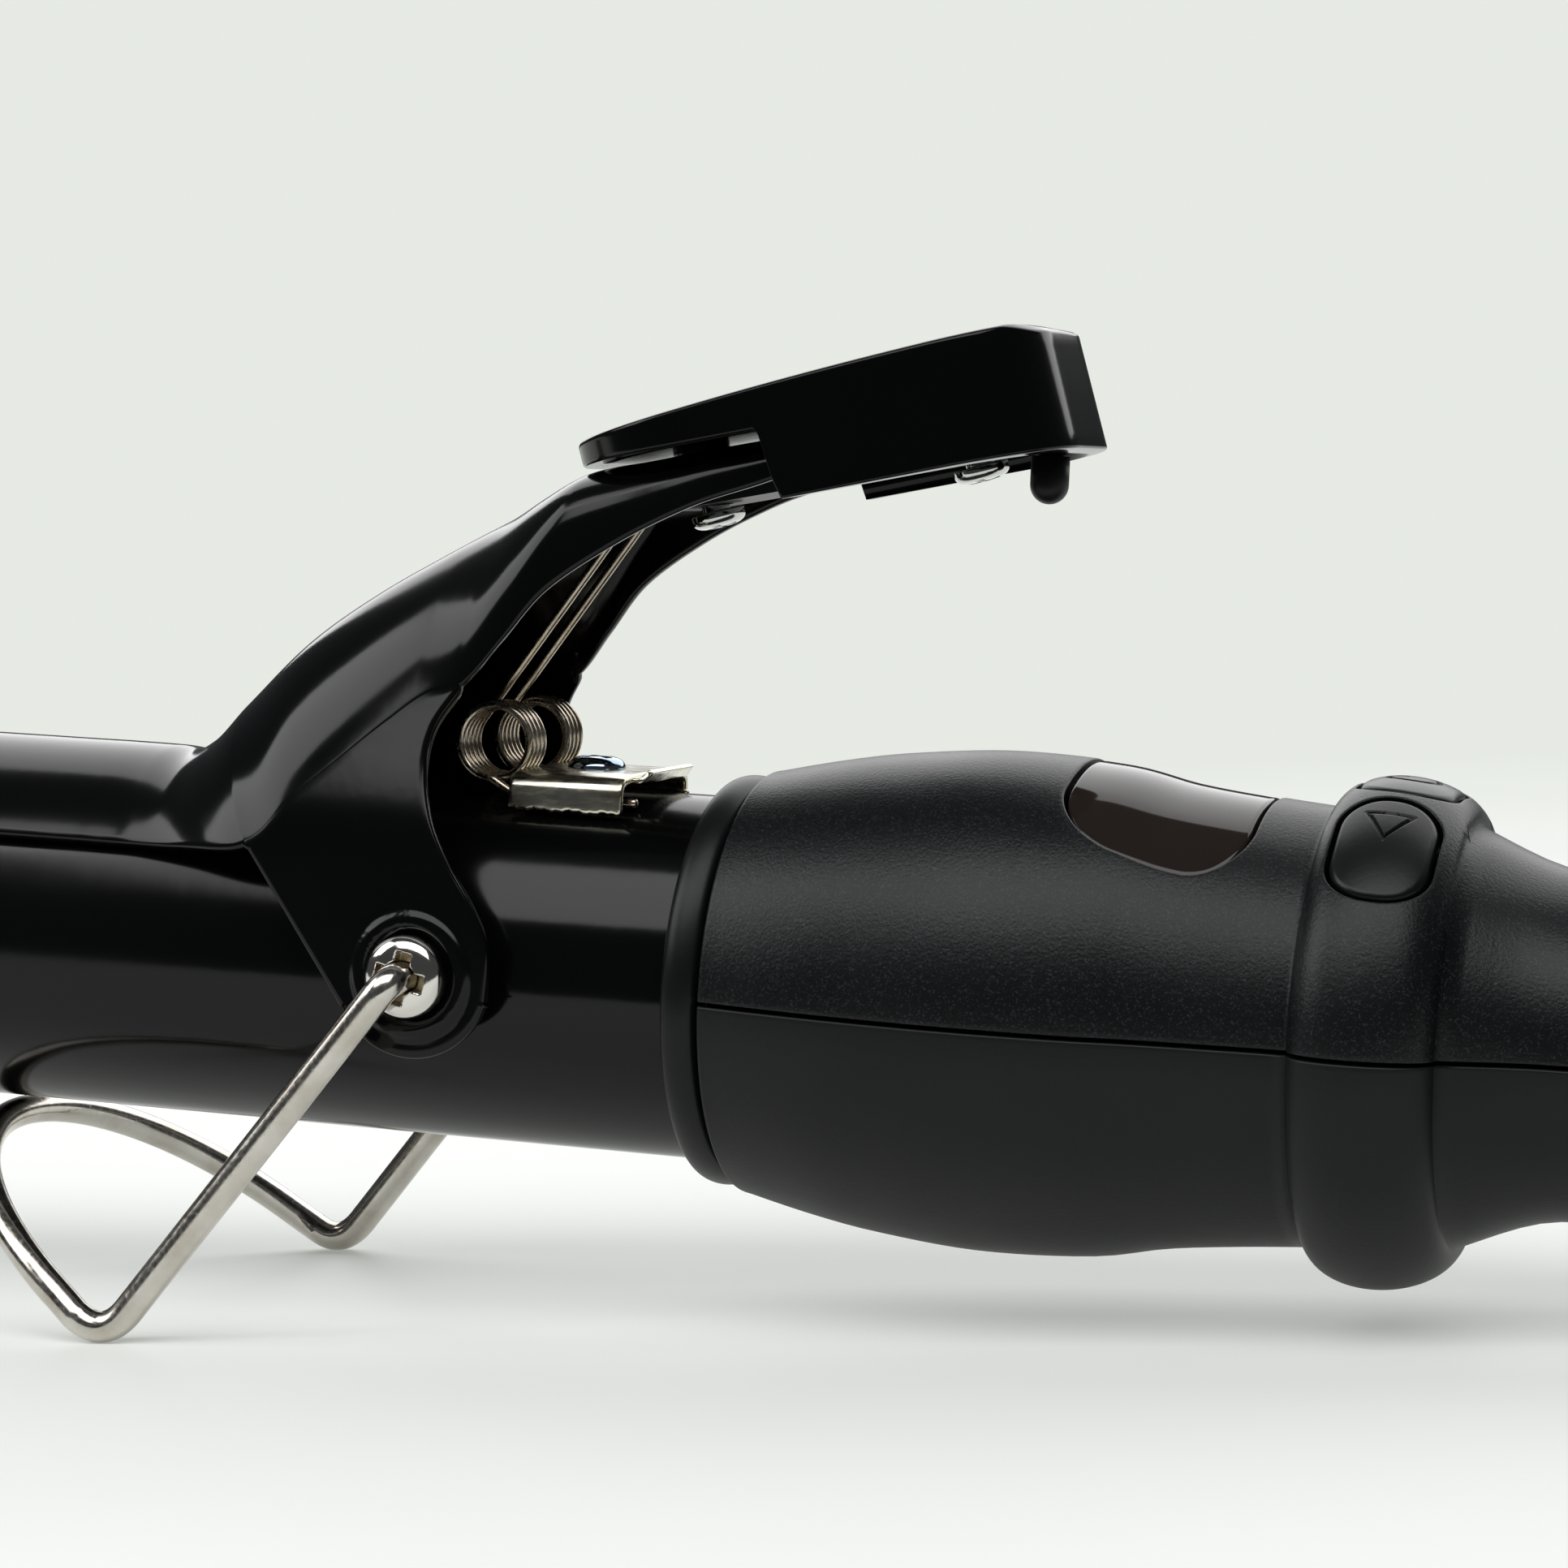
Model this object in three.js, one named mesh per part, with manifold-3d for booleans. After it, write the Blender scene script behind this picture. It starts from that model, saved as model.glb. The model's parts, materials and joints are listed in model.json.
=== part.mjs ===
// A curling iron with a spring clamp, a folding wire stand, a display and three buttons.
// Millimetres. x runs along the barrel from the clamp's pivot towards the cord end, y across it, z up.
// The whole iron is then tipped so that it stands on its wire feet and the end of its handle.
import * as THREE from "three";
import { mergeVertices } from "three/addons/utils/BufferGeometryUtils.js";
import { ParametricGeometry } from "three/addons/geometries/ParametricGeometry.js";
import Module from "manifold-3d";

const wasm = await Module();
wasm.setup();

// ---------- driving dimensions ----------
const gap = 0.3; // clearance between neighbouring pieces
const around = 24; // flats round the large round pieces
const barrelRadius = 14;
const barrelWall = 1.2;
const barrelFront = -132; // where the tube ends and the cool tip begins
const tipLength = 18;
const sheet = 1; // thickness of the clamp's steel
const clampHalfAngle = THREE.MathUtils.degToRad(56.3);
const earGap = 1.6; // barrel side to the inside of each ear
const pivotHeight = 0.45; // pivot above the barrel's axis
const pivotHole = 2.2;
const wireRadius = 1.2;
const footReach = 22; // pivot to the foot's bend, along the barrel
const footDrop = 28.6; // barrel's axis to the corner that the foot's bend rounds off
const footSpread = 21.5;
const handleFront = 22.6;
const bodyLength = 43.9; // front of the handle to the button collar
const collarWidth = 10.3;
const gripLength = 89.2; // button collar to the end of the handle
const handleWall = 2;
const ringWidth = 3;
const padTilt = THREE.MathUtils.degToRad(17.3);
const padLength = 37.3;
const padHalfWidth = 11.5;
const padWall = 1.5;
const buttonAngle = THREE.MathUtils.degToRad(37); // between neighbouring buttons, round the handle
const springWire = 0.36;
const springRadius = 2.8;
const springTurns = 4;
const leadRadius = 0.8;
const boardThickness = 1.6;

// ---------- sizes that follow ----------
const barrelInner = barrelRadius - barrelWall;
const clampRadius = barrelRadius + gap + sheet;
const earInner = barrelRadius + earGap;
const earOuter = earInner + sheet;
const collarFront = handleFront + bodyLength;
const collarRear = collarFront + collarWidth;
const handleRear = collarRear + gripLength;
const collarMiddle = (collarFront + collarRear) / 2;
const barrelRear = handleFront + 3.4;

// ---------- finishes ----------
const finish = (name, color, roughness, metalness) =>
  new THREE.MeshStandardMaterial({ name, color, roughness, metalness });
const enamel = finish("black_enamel", 0x0b0c0d, 0.18, 0.1);
const glossPlastic = finish("gloss_black_plastic", 0x0a0b0c, 0.22, 0);
const satinPlastic = finish("satin_black_plastic", 0x141618, 0.45, 0);
const mattePlastic = finish("matte_black_plastic", 0x17191c, 0.6, 0);
const smokedLens = finish("smoked_lens", 0x1c1816, 0.08, 0);
const nickel = finish("nickel_plate", 0xb9b2a3, 0.22, 1);
const zinc = finish("zinc_plate", 0xa9a795, 0.35, 1);
const blueZinc = finish("blue_zinc", 0x5d6c7a, 0.3, 1);
const springSteel = finish("spring_steel", 0x9c8b75, 0.3, 1);
const aluminium = finish("aluminium", 0xa8abad, 0.4, 1);
const ceramic = finish("white_ceramic", 0xd9d5c8, 0.7, 0);
const board = finish("green_board", 0x1f4a30, 0.5, 0);
const insulation = finish("silicone_insulation", 0x8d3a2c, 0.6, 0);
const blackRubber = finish("black_rubber", 0x101112, 0.55, 0);

// ---------- solids ----------
const at = (x, y, z) => new THREE.Vector3(x, y, z);

// A closed geometry as a solid, with its faces turned outwards.
function solid(geometry, place = new THREE.Matrix4()) {
  const loose = geometry.index ? geometry.toNonIndexed() : geometry.clone();
  loose.applyMatrix4(place);
  loose.deleteAttribute("normal");
  loose.deleteAttribute("uv");
  const merged = mergeVertices(loose, 1e-4);
  const corners = [];
  for (let i = 0; i < merged.index.count; i += 3) {
    const [a, b, c] = merged.index.array.slice(i, i + 3);
    if (a !== b && b !== c && c !== a) corners.push(a, b, c);
  }
  const vertProperties = merged.attributes.position.array;
  const made = (triVerts) =>
    new wasm.Manifold(new wasm.Mesh({ numProp: 3, vertProperties, triVerts }));
  const first = made(new Uint32Array(corners));
  return first.volume() > 0 ? first : made(new Uint32Array(corners.reverse()));
}

// The named mesh of a solid.
function piece(name, body, material) {
  const { numProp, vertProperties, triVerts } = body.getMesh();
  const corners = new Float32Array((vertProperties.length / numProp) * 3);
  for (let i = 0; i < corners.length / 3; i++) {
    corners.set(vertProperties.subarray(i * numProp, i * numProp + 3), i * 3);
  }
  const geometry = new THREE.BufferGeometry();
  geometry.setAttribute("position", new THREE.BufferAttribute(corners, 3));
  geometry.setIndex(new THREE.BufferAttribute(triVerts, 1));
  geometry.computeVertexNormals();
  const mesh = new THREE.Mesh(geometry, material);
  mesh.name = name;
  return mesh;
}

// A solid of revolution about x, from [x, radius] points. A profile that leaves the axis is closed.
function revolve(profile, segments = around) {
  const points = profile.map(([x, radius]) => new THREE.Vector2(radius, x));
  if (points[0].x > 0) points.push(points[0].clone());
  return solid(new THREE.LatheGeometry(points, segments), new THREE.Matrix4().makeRotationZ(-Math.PI / 2));
}

// The same about an upright or a crosswise line: the profile's [length, radius] runs along a direction.
function turned(profile, start, direction, segments = 16) {
  const turn = new THREE.Quaternion().setFromUnitVectors(at(1, 0, 0), direction.clone().normalize());
  const place = new THREE.Matrix4().compose(start, turn, at(1, 1, 1));
  return revolve(profile, segments).transform(place.elements);
}

const rod = (from, to, radius, segments = 16) => {
  const length = from.distanceTo(to);
  const outline = [[0, 0], [0, radius], [length, radius], [length, 0]];
  return turned(outline, from, to.clone().sub(from), segments);
};

function box([x0, x1], [y0, y1], [z0, z1]) {
  const geometry = new THREE.BoxGeometry(x1 - x0, y1 - y0, z1 - z0);
  return solid(geometry, new THREE.Matrix4().makeTranslation((x0 + x1) / 2, (y0 + y1) / 2, (z0 + z1) / 2));
}

function extruded(shape, depth, right, up, origin, curveSegments) {
  const geometry = new THREE.ExtrudeGeometry(shape, { depth, bevelEnabled: false, curveSegments });
  const out = at(0, 0, 0).crossVectors(right, up);
  return solid(geometry, new THREE.Matrix4().makeBasis(right, up, out).setPosition(origin));
}

// Outlines drawn in x and z, in y and z, and in x and y.
const acrossY = (shape, y0, y1, curves = 8) =>
  extruded(shape, y1 - y0, at(1, 0, 0), at(0, 0, 1), at(0, y1, 0), curves);
const alongX = (shape, x0, x1, curves = 8) =>
  extruded(shape, x1 - x0, at(0, 1, 0), at(0, 0, 1), at(x0, 0, 0), curves);
const upZ = (shape, z0, z1, curves = 8) =>
  extruded(shape, z1 - z0, at(1, 0, 0), at(0, 1, 0), at(0, 0, z0), curves);

const polygon = (points) => new THREE.Shape(points.map(([a, b]) => new THREE.Vector2(a, b)));

function roundedRectangle([x0, x1], [y0, y1], frontRadius, rearRadius = frontRadius) {
  const shape = new THREE.Shape();
  shape.absarc(x1 - rearRadius, y1 - rearRadius, rearRadius, 0, Math.PI / 2);
  shape.absarc(x0 + frontRadius, y1 - frontRadius, frontRadius, Math.PI / 2, Math.PI);
  shape.absarc(x0 + frontRadius, y0 + frontRadius, frontRadius, Math.PI, 1.5 * Math.PI);
  shape.absarc(x1 - rearRadius, y0 + rearRadius, rearRadius, 1.5 * Math.PI, 2 * Math.PI);
  return shape;
}

// A path through chosen stations, straight between them, whose rings stand square to the bisectors.
class StationPath extends THREE.Curve {
  constructor(stations) {
    super();
    this.stations = stations;
  }

  getPoint(t) {
    const along = t * (this.stations.length - 1);
    const i = Math.min(Math.floor(along), this.stations.length - 2);
    return this.stations[i].clone().lerp(this.stations[i + 1], along - i);
  }

  getTangent(t) {
    const last = this.stations.length - 1;
    const i = Math.round(t * last);
    const leg = (from, to) => this.stations[to].clone().sub(this.stations[from]).normalize();
    const before = leg(Math.max(i - 1, 0), Math.max(i, 1));
    const after = leg(Math.min(i, last - 1), Math.min(i + 1, last));
    return before.add(after).normalize();
  }

  getUtoTmapping(u) {
    return u;
  }
}

function wire(stations, radius, sides) {
  const ring = [];
  for (let i = 0; i < sides; i++) {
    const angle = (2 * Math.PI * i) / sides;
    ring.push([radius * Math.cos(angle), radius * Math.sin(angle)]);
  }
  const path = new StationPath(stations);
  const steps = stations.length - 1;
  return solid(new THREE.ExtrudeGeometry(polygon(ring), { steps, extrudePath: path, bevelEnabled: false }));
}

// A bend from one leg to the next, as a few stations on a curve that starts and ends on the legs.
function bend(from, corner, to, steps) {
  return new THREE.QuadraticBezierCurve3(from, corner, to).getPoints(steps);
}

// ---------- barrel ----------
const heaterFront = barrelFront + 14;
const heaterRear = -30;
const tubePlug = barrelInner - gap;
const spindleRadius = pivotHole + 0.7;
const bracketScrewX = 8;

function barrelTube() {
  const tube = revolve([
    [barrelFront, barrelInner],
    [barrelFront, barrelRadius],
    [barrelRear, barrelRadius],
    [barrelRear, barrelInner],
  ]);
  const spindleHole = rod(
    at(0, -barrelRadius - 2, pivotHeight),
    at(0, barrelRadius + 2, pivotHeight),
    spindleRadius + gap,
  );
  const screwHole = rod(at(bracketScrewX, 0, 0), at(bracketScrewX, 0, barrelRadius + 2), 1.6, 12);
  return tube.subtract(spindleHole).subtract(screwHole);
}

function tipCap() {
  const end = barrelFront - tipLength;
  const round = 4;
  const profile = [[end, 0]];
  for (let i = 0; i <= 4; i++) {
    const angle = (Math.PI / 2) * (i / 4);
    profile.push([end + round * (1 - Math.cos(angle)), barrelRadius - round * (1 - Math.sin(angle))]);
  }
  const plugWall = 1.8;
  profile.push(
    [barrelFront - gap, barrelRadius],
    [barrelFront - gap, tubePlug],
    [barrelFront + 9, tubePlug],
    [barrelFront + 9, tubePlug - plugWall],
    [end + 3, tubePlug - plugWall],
    [end + 3, 0],
  );
  return revolve(profile);
}

// Half of the pair of blocks that press on the flat heater: a D-shaped tube against the barrel's wall.
function heatSpreader(side) {
  const ptcHalf = 2;
  const flat = ptcHalf + gap;
  const wall = 1.6;
  const dShape = (radius, height) => {
    const start = Math.asin(height / radius);
    const shape = new THREE.Shape();
    shape.absarc(0, 0, radius, start, Math.PI - start);
    return shape;
  };
  const outline = dShape(tubePlug, flat);
  outline.holes.push(dShape(tubePlug - wall, flat + wall));
  const upper = alongX(outline, heaterFront, heaterRear, 10);
  return side > 0 ? upper : upper.transform(new THREE.Matrix4().makeRotationX(Math.PI).elements);
}

const ptcHeater = () => box([heaterFront + 1, heaterRear - 1], [-9, 9], [-2, 2]);

const spacerFront = heaterRear + gap;
const spacerRear = spacerFront + 3.4;
const leadSide = 5;
const leadLow = -6;
const fuseAt = [0, 5];
const fuseRadius = 1.9;
const thermistorAt = [0, -8];
const thermistorRadius = 1.3;

function heaterSpacer() {
  const disc = rod(at(spacerFront, 0, 0), at(spacerRear, 0, 0), tubePlug, 24);
  const holes = [
    [leadSide, leadLow, leadRadius],
    [-leadSide, leadLow, leadRadius],
    [...fuseAt, fuseRadius],
    [...thermistorAt, thermistorRadius],
  ];
  const hole = (y, z, r) => rod(at(spacerFront - 1, y, z), at(spacerRear + 1, y, z), r + gap, 12);
  return holes.reduce((body, [y, z, r]) => body.subtract(hole(y, z, r)), disc);
}

const sensor = ([y, z], radius, length) =>
  rod(at(spacerFront + gap, y, z), at(spacerFront + gap + length, y, z), radius, 12);

// The heat-resistant holder: a sleeve inside the barrel's end and a flange that the handle clasps.
const flangeFront = barrelRear + gap;
const flangeRear = flangeFront + 3.4;
const holderBore = Math.hypot(leadSide, leadLow) + leadRadius + gap;

function barrelHolder() {
  return revolve([
    [handleFront - 9, holderBore],
    [handleFront - 9, tubePlug],
    [flangeFront, tubePlug],
    [flangeFront, barrelRadius + 0.7],
    [flangeRear, barrelRadius + 0.7],
    [flangeRear, holderBore],
  ]);
}

function insulatingRing() {
  const rear = handleFront - gap;
  const middle = rear - ringWidth / 2;
  const bore = barrelRadius + gap;
  const crown = 1.45;
  const profile = [[rear, bore], [rear - ringWidth, bore]];
  for (let i = 1; i < 6; i++) {
    const angle = Math.PI * (1 - i / 6);
    profile.push([middle + (ringWidth / 2) * Math.cos(angle), bore + crown * Math.sin(angle) ** 0.6]);
  }
  return revolve(profile);
}

// ---------- pivot ----------
const screwHeadFrom = earOuter + gap;
const screwHeadTo = screwHeadFrom + 2;
const socketFloor = screwHeadFrom + 0.7;
const stemRadius = pivotHole - gap;

const pivotSpindle = () => {
  const end = earInner - gap;
  const from = at(0, -end, pivotHeight);
  const to = at(0, end, pivotHeight);
  return rod(from, to, spindleRadius).subtract(rod(from, to, pivotHole).scale([1, 1.1, 1]));
};

function pivotScrew(side) {
  const head = 3.15;
  const shankEnd = barrelRadius - 5;
  const socket = wireRadius + 0.45;
  const profile = [
    [shankEnd, 0],
    [shankEnd, stemRadius],
    [screwHeadFrom, stemRadius],
    [screwHeadFrom, head],
    [screwHeadFrom + 0.7, head],
    [screwHeadTo - 0.5, head - 0.55],
    [screwHeadTo, head - 1.3],
    [screwHeadTo, socket],
    [socketFloor, socket],
    [socketFloor, 0],
  ];
  return turned(profile, at(0, 0, pivotHeight), at(0, side, 0));
}

// ---------- clamp ----------
// Rows along the sheet from the spoon to the lever's end. Each holds the ridge and the rim as
// [x, height above the spoon's top], the half width at the rim, and how far the section has turned
// from a round spoon to a box.
const lipDepth = 1; // thickness of the thumb rest at its front edge
const plateDepth = 2.4; // and where its skirt starts
const notchAlong = 15.85;
const padTip = at(8, 0, clampRadius + 24.4);
const padPlace = new THREE.Matrix4().makeRotationY(-padTilt).setPosition(padTip);
const inPad = (u, w, y = 0) => at(u, y, w).applyMatrix4(padPlace);
const tongueEnd = padLength - 3.2;
const padScrews = [7.5, 28.6]; // places along the thumb rest
const bossRadius = 2.2;
const rivetAlong = 2.9;
const rivetStem = 0.9;

// Depth of the lever's ridge under the thumb rest's top line.
function ridgeDepth(u) {
  return lipDepth + (plateDepth - lipDepth) * Math.min(u / notchAlong, 1) + gap;
}

function ridgeUnderPad(u) {
  const point = inPad(u, -ridgeDepth(u));
  return [point.x, point.z - clampRadius];
}

function rimUnderPad(u, drop) {
  const [x, rise] = ridgeUnderPad(u);
  return [x, rise - drop];
}

const tongueHalf = padHalfWidth - padWall - 0.7;
const roundWidth = clampRadius * Math.sin(clampHalfAngle);
const roundDrop = clampRadius * (1 - Math.cos(clampHalfAngle));
const spoonFront = barrelFront + 3;
const clampRows = [
  { ridge: [spoonFront, 0], rim: [spoonFront, -roundDrop], half: roundWidth, boxy: 0 },
  { ridge: [-90, 0], rim: [-90, -roundDrop], half: roundWidth, boxy: 0 },
  { ridge: [-34, 0], rim: [-32, -roundDrop], half: roundWidth, boxy: 0 },
  { ridge: [-29, 0.1], rim: [-25.5, -roundDrop], half: roundWidth + 0.1, boxy: 0.08 },
  { ridge: [-26.2, 0.9], rim: [-21, -roundDrop], half: roundWidth + 0.9, boxy: 0.4 },
  { ridge: [-23.4, 3.1], rim: [-17.5, -6.6], half: earOuter - 1.1, boxy: 0.8 },
  { ridge: [-18.9, 6.7], rim: [-14.2, -6.3], half: earOuter, boxy: 1 },
  { ridge: [-13.7, 10.9], rim: [-9, -6.3], half: earOuter, boxy: 1 },
  { ridge: [-8.6, 14.3], rim: [-4.3, -6.1], half: earOuter, boxy: 1 },
  { ridge: [-4.3, 16.9], rim: [-0.9, -4.3], half: earOuter - 0.2, boxy: 1 },
  { ridge: [-0.5, 19], rim: [0.6, 0.8], half: earOuter - 1.8, boxy: 1 },
  { ridge: [2.6, 20.6], rim: [1.6, 6.4], half: earOuter - 3.7, boxy: 1 },
  { ridge: [5.2, 21.8], rim: [3.7, 10.2], half: earOuter - 5, boxy: 1 },
  { ridge: ridgeUnderPad(0.6), rim: [7.3, 14.1], half: earOuter - 5.6, boxy: 1 },
  { ridge: ridgeUnderPad(5), rim: [12.5, 17.8], half: earOuter - 6, boxy: 1 },
  { ridge: ridgeUnderPad(10), rim: [18, 20.7], half: earOuter - 6.4, boxy: 1 },
  { ridge: ridgeUnderPad(notchAlong), rim: rimUnderPad(notchAlong, 3.6), half: tongueHalf, boxy: 1 },
  { ridge: ridgeUnderPad(tongueEnd - 7), rim: rimUnderPad(tongueEnd - 7, 2), half: tongueHalf, boxy: 1 },
  { ridge: ridgeUnderPad(tongueEnd), rim: rimUnderPad(tongueEnd, 2), half: tongueHalf - 3, boxy: 1 },
];

const boxPower = 2 / 2.5; // an ellipse's power is 1, and a square's is 0

// A point of the outer skin at a row, with across from -1 at one rim to 1 at the other.
function skinPoint(row, across) {
  const { ridge, rim, half, boxy } = row;
  const angle = (Math.PI / 2) * Math.abs(across);
  const roundAngle = clampHalfAngle * Math.abs(across);
  const roundSide = Math.sin(roundAngle) / Math.sin(clampHalfAngle);
  const roundFall = (1 - Math.cos(roundAngle)) / (1 - Math.cos(clampHalfAngle));
  const boxSide = Math.sin(angle) ** boxPower;
  const boxFall = 1 - Math.max(Math.cos(angle), 0) ** boxPower;
  const side = THREE.MathUtils.lerp(roundSide, boxSide, boxy);
  const fall = THREE.MathUtils.lerp(roundFall, boxFall, boxy);
  return at(
    THREE.MathUtils.lerp(ridge[0], rim[0], fall),
    Math.sign(across) * half * side,
    clampRadius + THREE.MathUtils.lerp(ridge[1], rim[1], fall),
  );
}

// The skin's unit normal, outwards, from its neighbours along the rows and across them.
function skinNormal(i, across) {
  const nudge = 0.02;
  const before = skinPoint(clampRows[Math.max(i - 1, 0)], across);
  const after = skinPoint(clampRows[Math.min(i + 1, clampRows.length - 1)], across);
  const left = skinPoint(clampRows[i], Math.max(across - nudge, -1));
  const right = skinPoint(clampRows[i], Math.min(across + nudge, 1));
  return after.sub(before).cross(right.sub(left)).normalize();
}

// The bent sheet: an outline of 2 x cells + 2 corners at each row, closed at both ends on its middle line.
function clampSheet() {
  const cells = 12;
  const corners = 2 * (cells + 1);
  const last = clampRows.length - 1;
  const corner = (i, k) => {
    const inside = k > cells;
    const across = -1 + (2 * (inside ? corners - 1 - k : k)) / cells;
    return { across, depth: inside ? sheet : 0 };
  };
  const surface = (u, v, target) => {
    const k = Math.round(u * corners) % corners;
    const station = Math.round(v * (last + 2)) - 1;
    const i = THREE.MathUtils.clamp(station, 0, last);
    const { across, depth } = corner(i, k);
    const inward = station < 0 || station > last ? sheet / 2 : depth;
    target.copy(skinPoint(clampRows[i], across)).addScaledVector(skinNormal(i, across), -inward);
  };
  return solid(new ParametricGeometry(surface, corners, last + 2));
}

// The ears hang from the sheet's sides and turn on the pivot screws.
function earOutline() {
  const lobe = 6.35;
  const top = clampRadius - 3.2;
  const shape = new THREE.Shape();
  shape.moveTo(-13.4, top);
  shape.lineTo(-14.6, clampRadius - 6);
  shape.lineTo(-6.4, pivotHeight - 3);
  shape.absarc(0, pivotHeight, lobe, Math.PI * 1.16, Math.PI * 2.09);
  shape.quadraticCurveTo(3.4, pivotHeight + 5.6, 0.4, clampRadius - 3.4);
  shape.lineTo(-0.9, top);
  return shape;
}

function clamp() {
  const ear = earOutline();
  let body = clampSheet();
  body = body.add(acrossY(ear, -earOuter, -earInner)).add(acrossY(ear, earInner, earOuter));
  const pivot = rod(at(0, -earOuter - 1, pivotHeight), at(0, earOuter + 1, pivotHeight), pivotHole);
  body = body.subtract(pivot);
  for (const u of padScrews) {
    body = body.subtract(rod(inPad(u, -7), inPad(u, 0), bossRadius + gap));
  }
  return body.subtract(rod(inPad(rivetAlong, -7), inPad(rivetAlong, 0), rivetStem + gap, 12));
}

// ---------- thumb rest ----------
const screwStem = 1.1;
const plateFront = 5;
const plateSlope = 0.098; // fall of the retaining plate along the thumb rest
const plateBottom = (u) => -5.75 - plateSlope * (u - plateFront);
const plateThickness = 1.2;
const plateHalf = 4.4;
const skirtFront = 7.8; // depth of the skirt behind the notch, and at the rear
const skirtRear = 9.5;
const padCornerFront = 9.5;
const padCornerRear = 8;

function thumbRest() {
  const crown = 1.6;
  const profile = new THREE.Shape();
  profile.moveTo(0, -lipDepth);
  profile.lineTo(0, 0);
  profile.quadraticCurveTo(padLength / 2, crown, padLength, -0.1);
  profile.lineTo(padLength, -skirtRear);
  profile.lineTo(notchAlong + 0.5, -skirtFront);
  profile.lineTo(notchAlong, -plateDepth);
  const outline = (inset) =>
    roundedRectangle(
      [inset, padLength - inset],
      [-padHalfWidth + inset, padHalfWidth - inset],
      padCornerFront - inset,
      padCornerRear - inset,
    );
  const pocket = upZ(outline(padWall), -20, -plateDepth);
  let body = acrossY(profile, -padHalfWidth, padHalfWidth, 10);
  body = body.intersect(upZ(outline(0), -20, 5)).subtract(pocket);
  for (const u of padScrews) {
    const foot = plateBottom(u) + plateThickness + gap + plateSlope * bossRadius;
    body = body.add(rod(at(u, 0, foot), at(u, 0, -0.9), bossRadius));
    body = body.subtract(rod(at(u, 0, foot - 1), at(u, 0, -1), screwStem + gap, 12));
  }
  return body.transform(padPlace.elements);
}

const bumperX = 43.25;
const bumperRadius = 1.45;
const bumperStem = 0.9;
const bumperLow = clampRadius + 22.1;
const bumperShoulder = bumperLow + 3.6;
const plateRear = padLength - padWall - gap;

// The plate that holds the thumb rest down on the lever.

function retainingPlate() {
  const middle = (plateFront + plateRear) / 2;
  const outline = roundedRectangle([plateFront, plateRear], [-plateHalf, plateHalf], 2, plateHalf - 0.01);
  let body = upZ(outline, 0, plateThickness, 6);
  for (const u of padScrews) body = body.subtract(rod(at(u, 0, -1), at(u, 0, 3), screwStem + gap, 12));
  const slope = new THREE.Matrix4().makeRotationY(Math.atan(plateSlope));
  const place = new THREE.Matrix4()
    .makeTranslation(middle, 0, plateBottom(middle))
    .multiply(slope)
    .multiply(new THREE.Matrix4().makeTranslation(-middle, 0, 0));
  const placed = body.transform(place.elements).transform(padPlace.elements);
  const bumperHole = rod(
    at(bumperX, 0, bumperShoulder - 1),
    at(bumperX, 0, padTip.z + 8),
    bumperStem + gap,
    12,
  );
  return placed.subtract(bumperHole);
}

function padScrew(u) {
  const head = 2.1;
  const headHeight = 1.1;
  const seat = plateBottom(u) - gap - 0.25;
  const end = -seat - 0.2;
  const profile = [
    [0, 0],
    [0, head - 0.6],
    [0.5, head],
    [headHeight, head],
    [headHeight, screwStem],
    [end, screwStem],
    [end, 0],
  ];
  const face = inPad(u, seat - headHeight);
  const along = inPad(0, 1).sub(inPad(0, 0));
  return turned(profile, face, along, 16).subtract(crossRecess(face, along, 1.1, 0.6));
}

// The cross-shaped recess of a screw head, cut from a face along a direction.
function crossRecess(face, direction, reach, depth) {
  const blade = 0.26;
  const cross = box([-0.5, depth], [-reach, reach], [-blade, blade]).add(
    box([-0.5, depth], [-blade, blade], [-reach, reach]),
  );
  const turn = new THREE.Quaternion().setFromUnitVectors(at(1, 0, 0), direction.clone().normalize());
  return cross.transform(new THREE.Matrix4().compose(face, turn, at(1, 1, 1)).elements);
}

// The stop under the thumb rest that meets the handle when the lever is pressed.
function bumperPin() {
  const profile = [[0, 0]];
  for (let i = 1; i <= 4; i++) {
    const angle = (Math.PI / 2) * (i / 4);
    profile.push([bumperRadius * (1 - Math.cos(angle)), bumperRadius * Math.sin(angle)]);
  }
  const shoulder = bumperShoulder - bumperLow;
  const end = shoulder + 2.2;
  profile.push([shoulder, bumperRadius], [shoulder, bumperStem], [end, bumperStem], [end, 0]);
  return turned(profile, at(bumperX, 0, bumperLow), at(0, 0, 1), 16);
}

function leverRivet() {
  const under = ridgeDepth(rivetAlong) + sheet + gap;
  const head = 2.1;
  const profile = [
    [0, 0],
    [0, head - 0.8],
    [0.5, head - 0.2],
    [0.9, head],
    [0.9, rivetStem],
    [1.9, rivetStem],
    [1.9, 0],
  ];
  const along = at(0, 0, 1).applyAxisAngle(at(0, 1, 0), -padTilt);
  return turned(profile, inPad(rivetAlong, -under - 0.9), along, 16);
}

// ---------- lever spring and its bracket ----------
const springX = 1.6;
const springZ = barrelRadius + 3.5;
const springPitch = 0.82;
const legOut = 5.7;
const legZ = barrelRadius - 0.5;
const upperLegTurn = THREE.MathUtils.degToRad(125.4); // past the bottom of the coil
const upperLegLength = 20.6;

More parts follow.
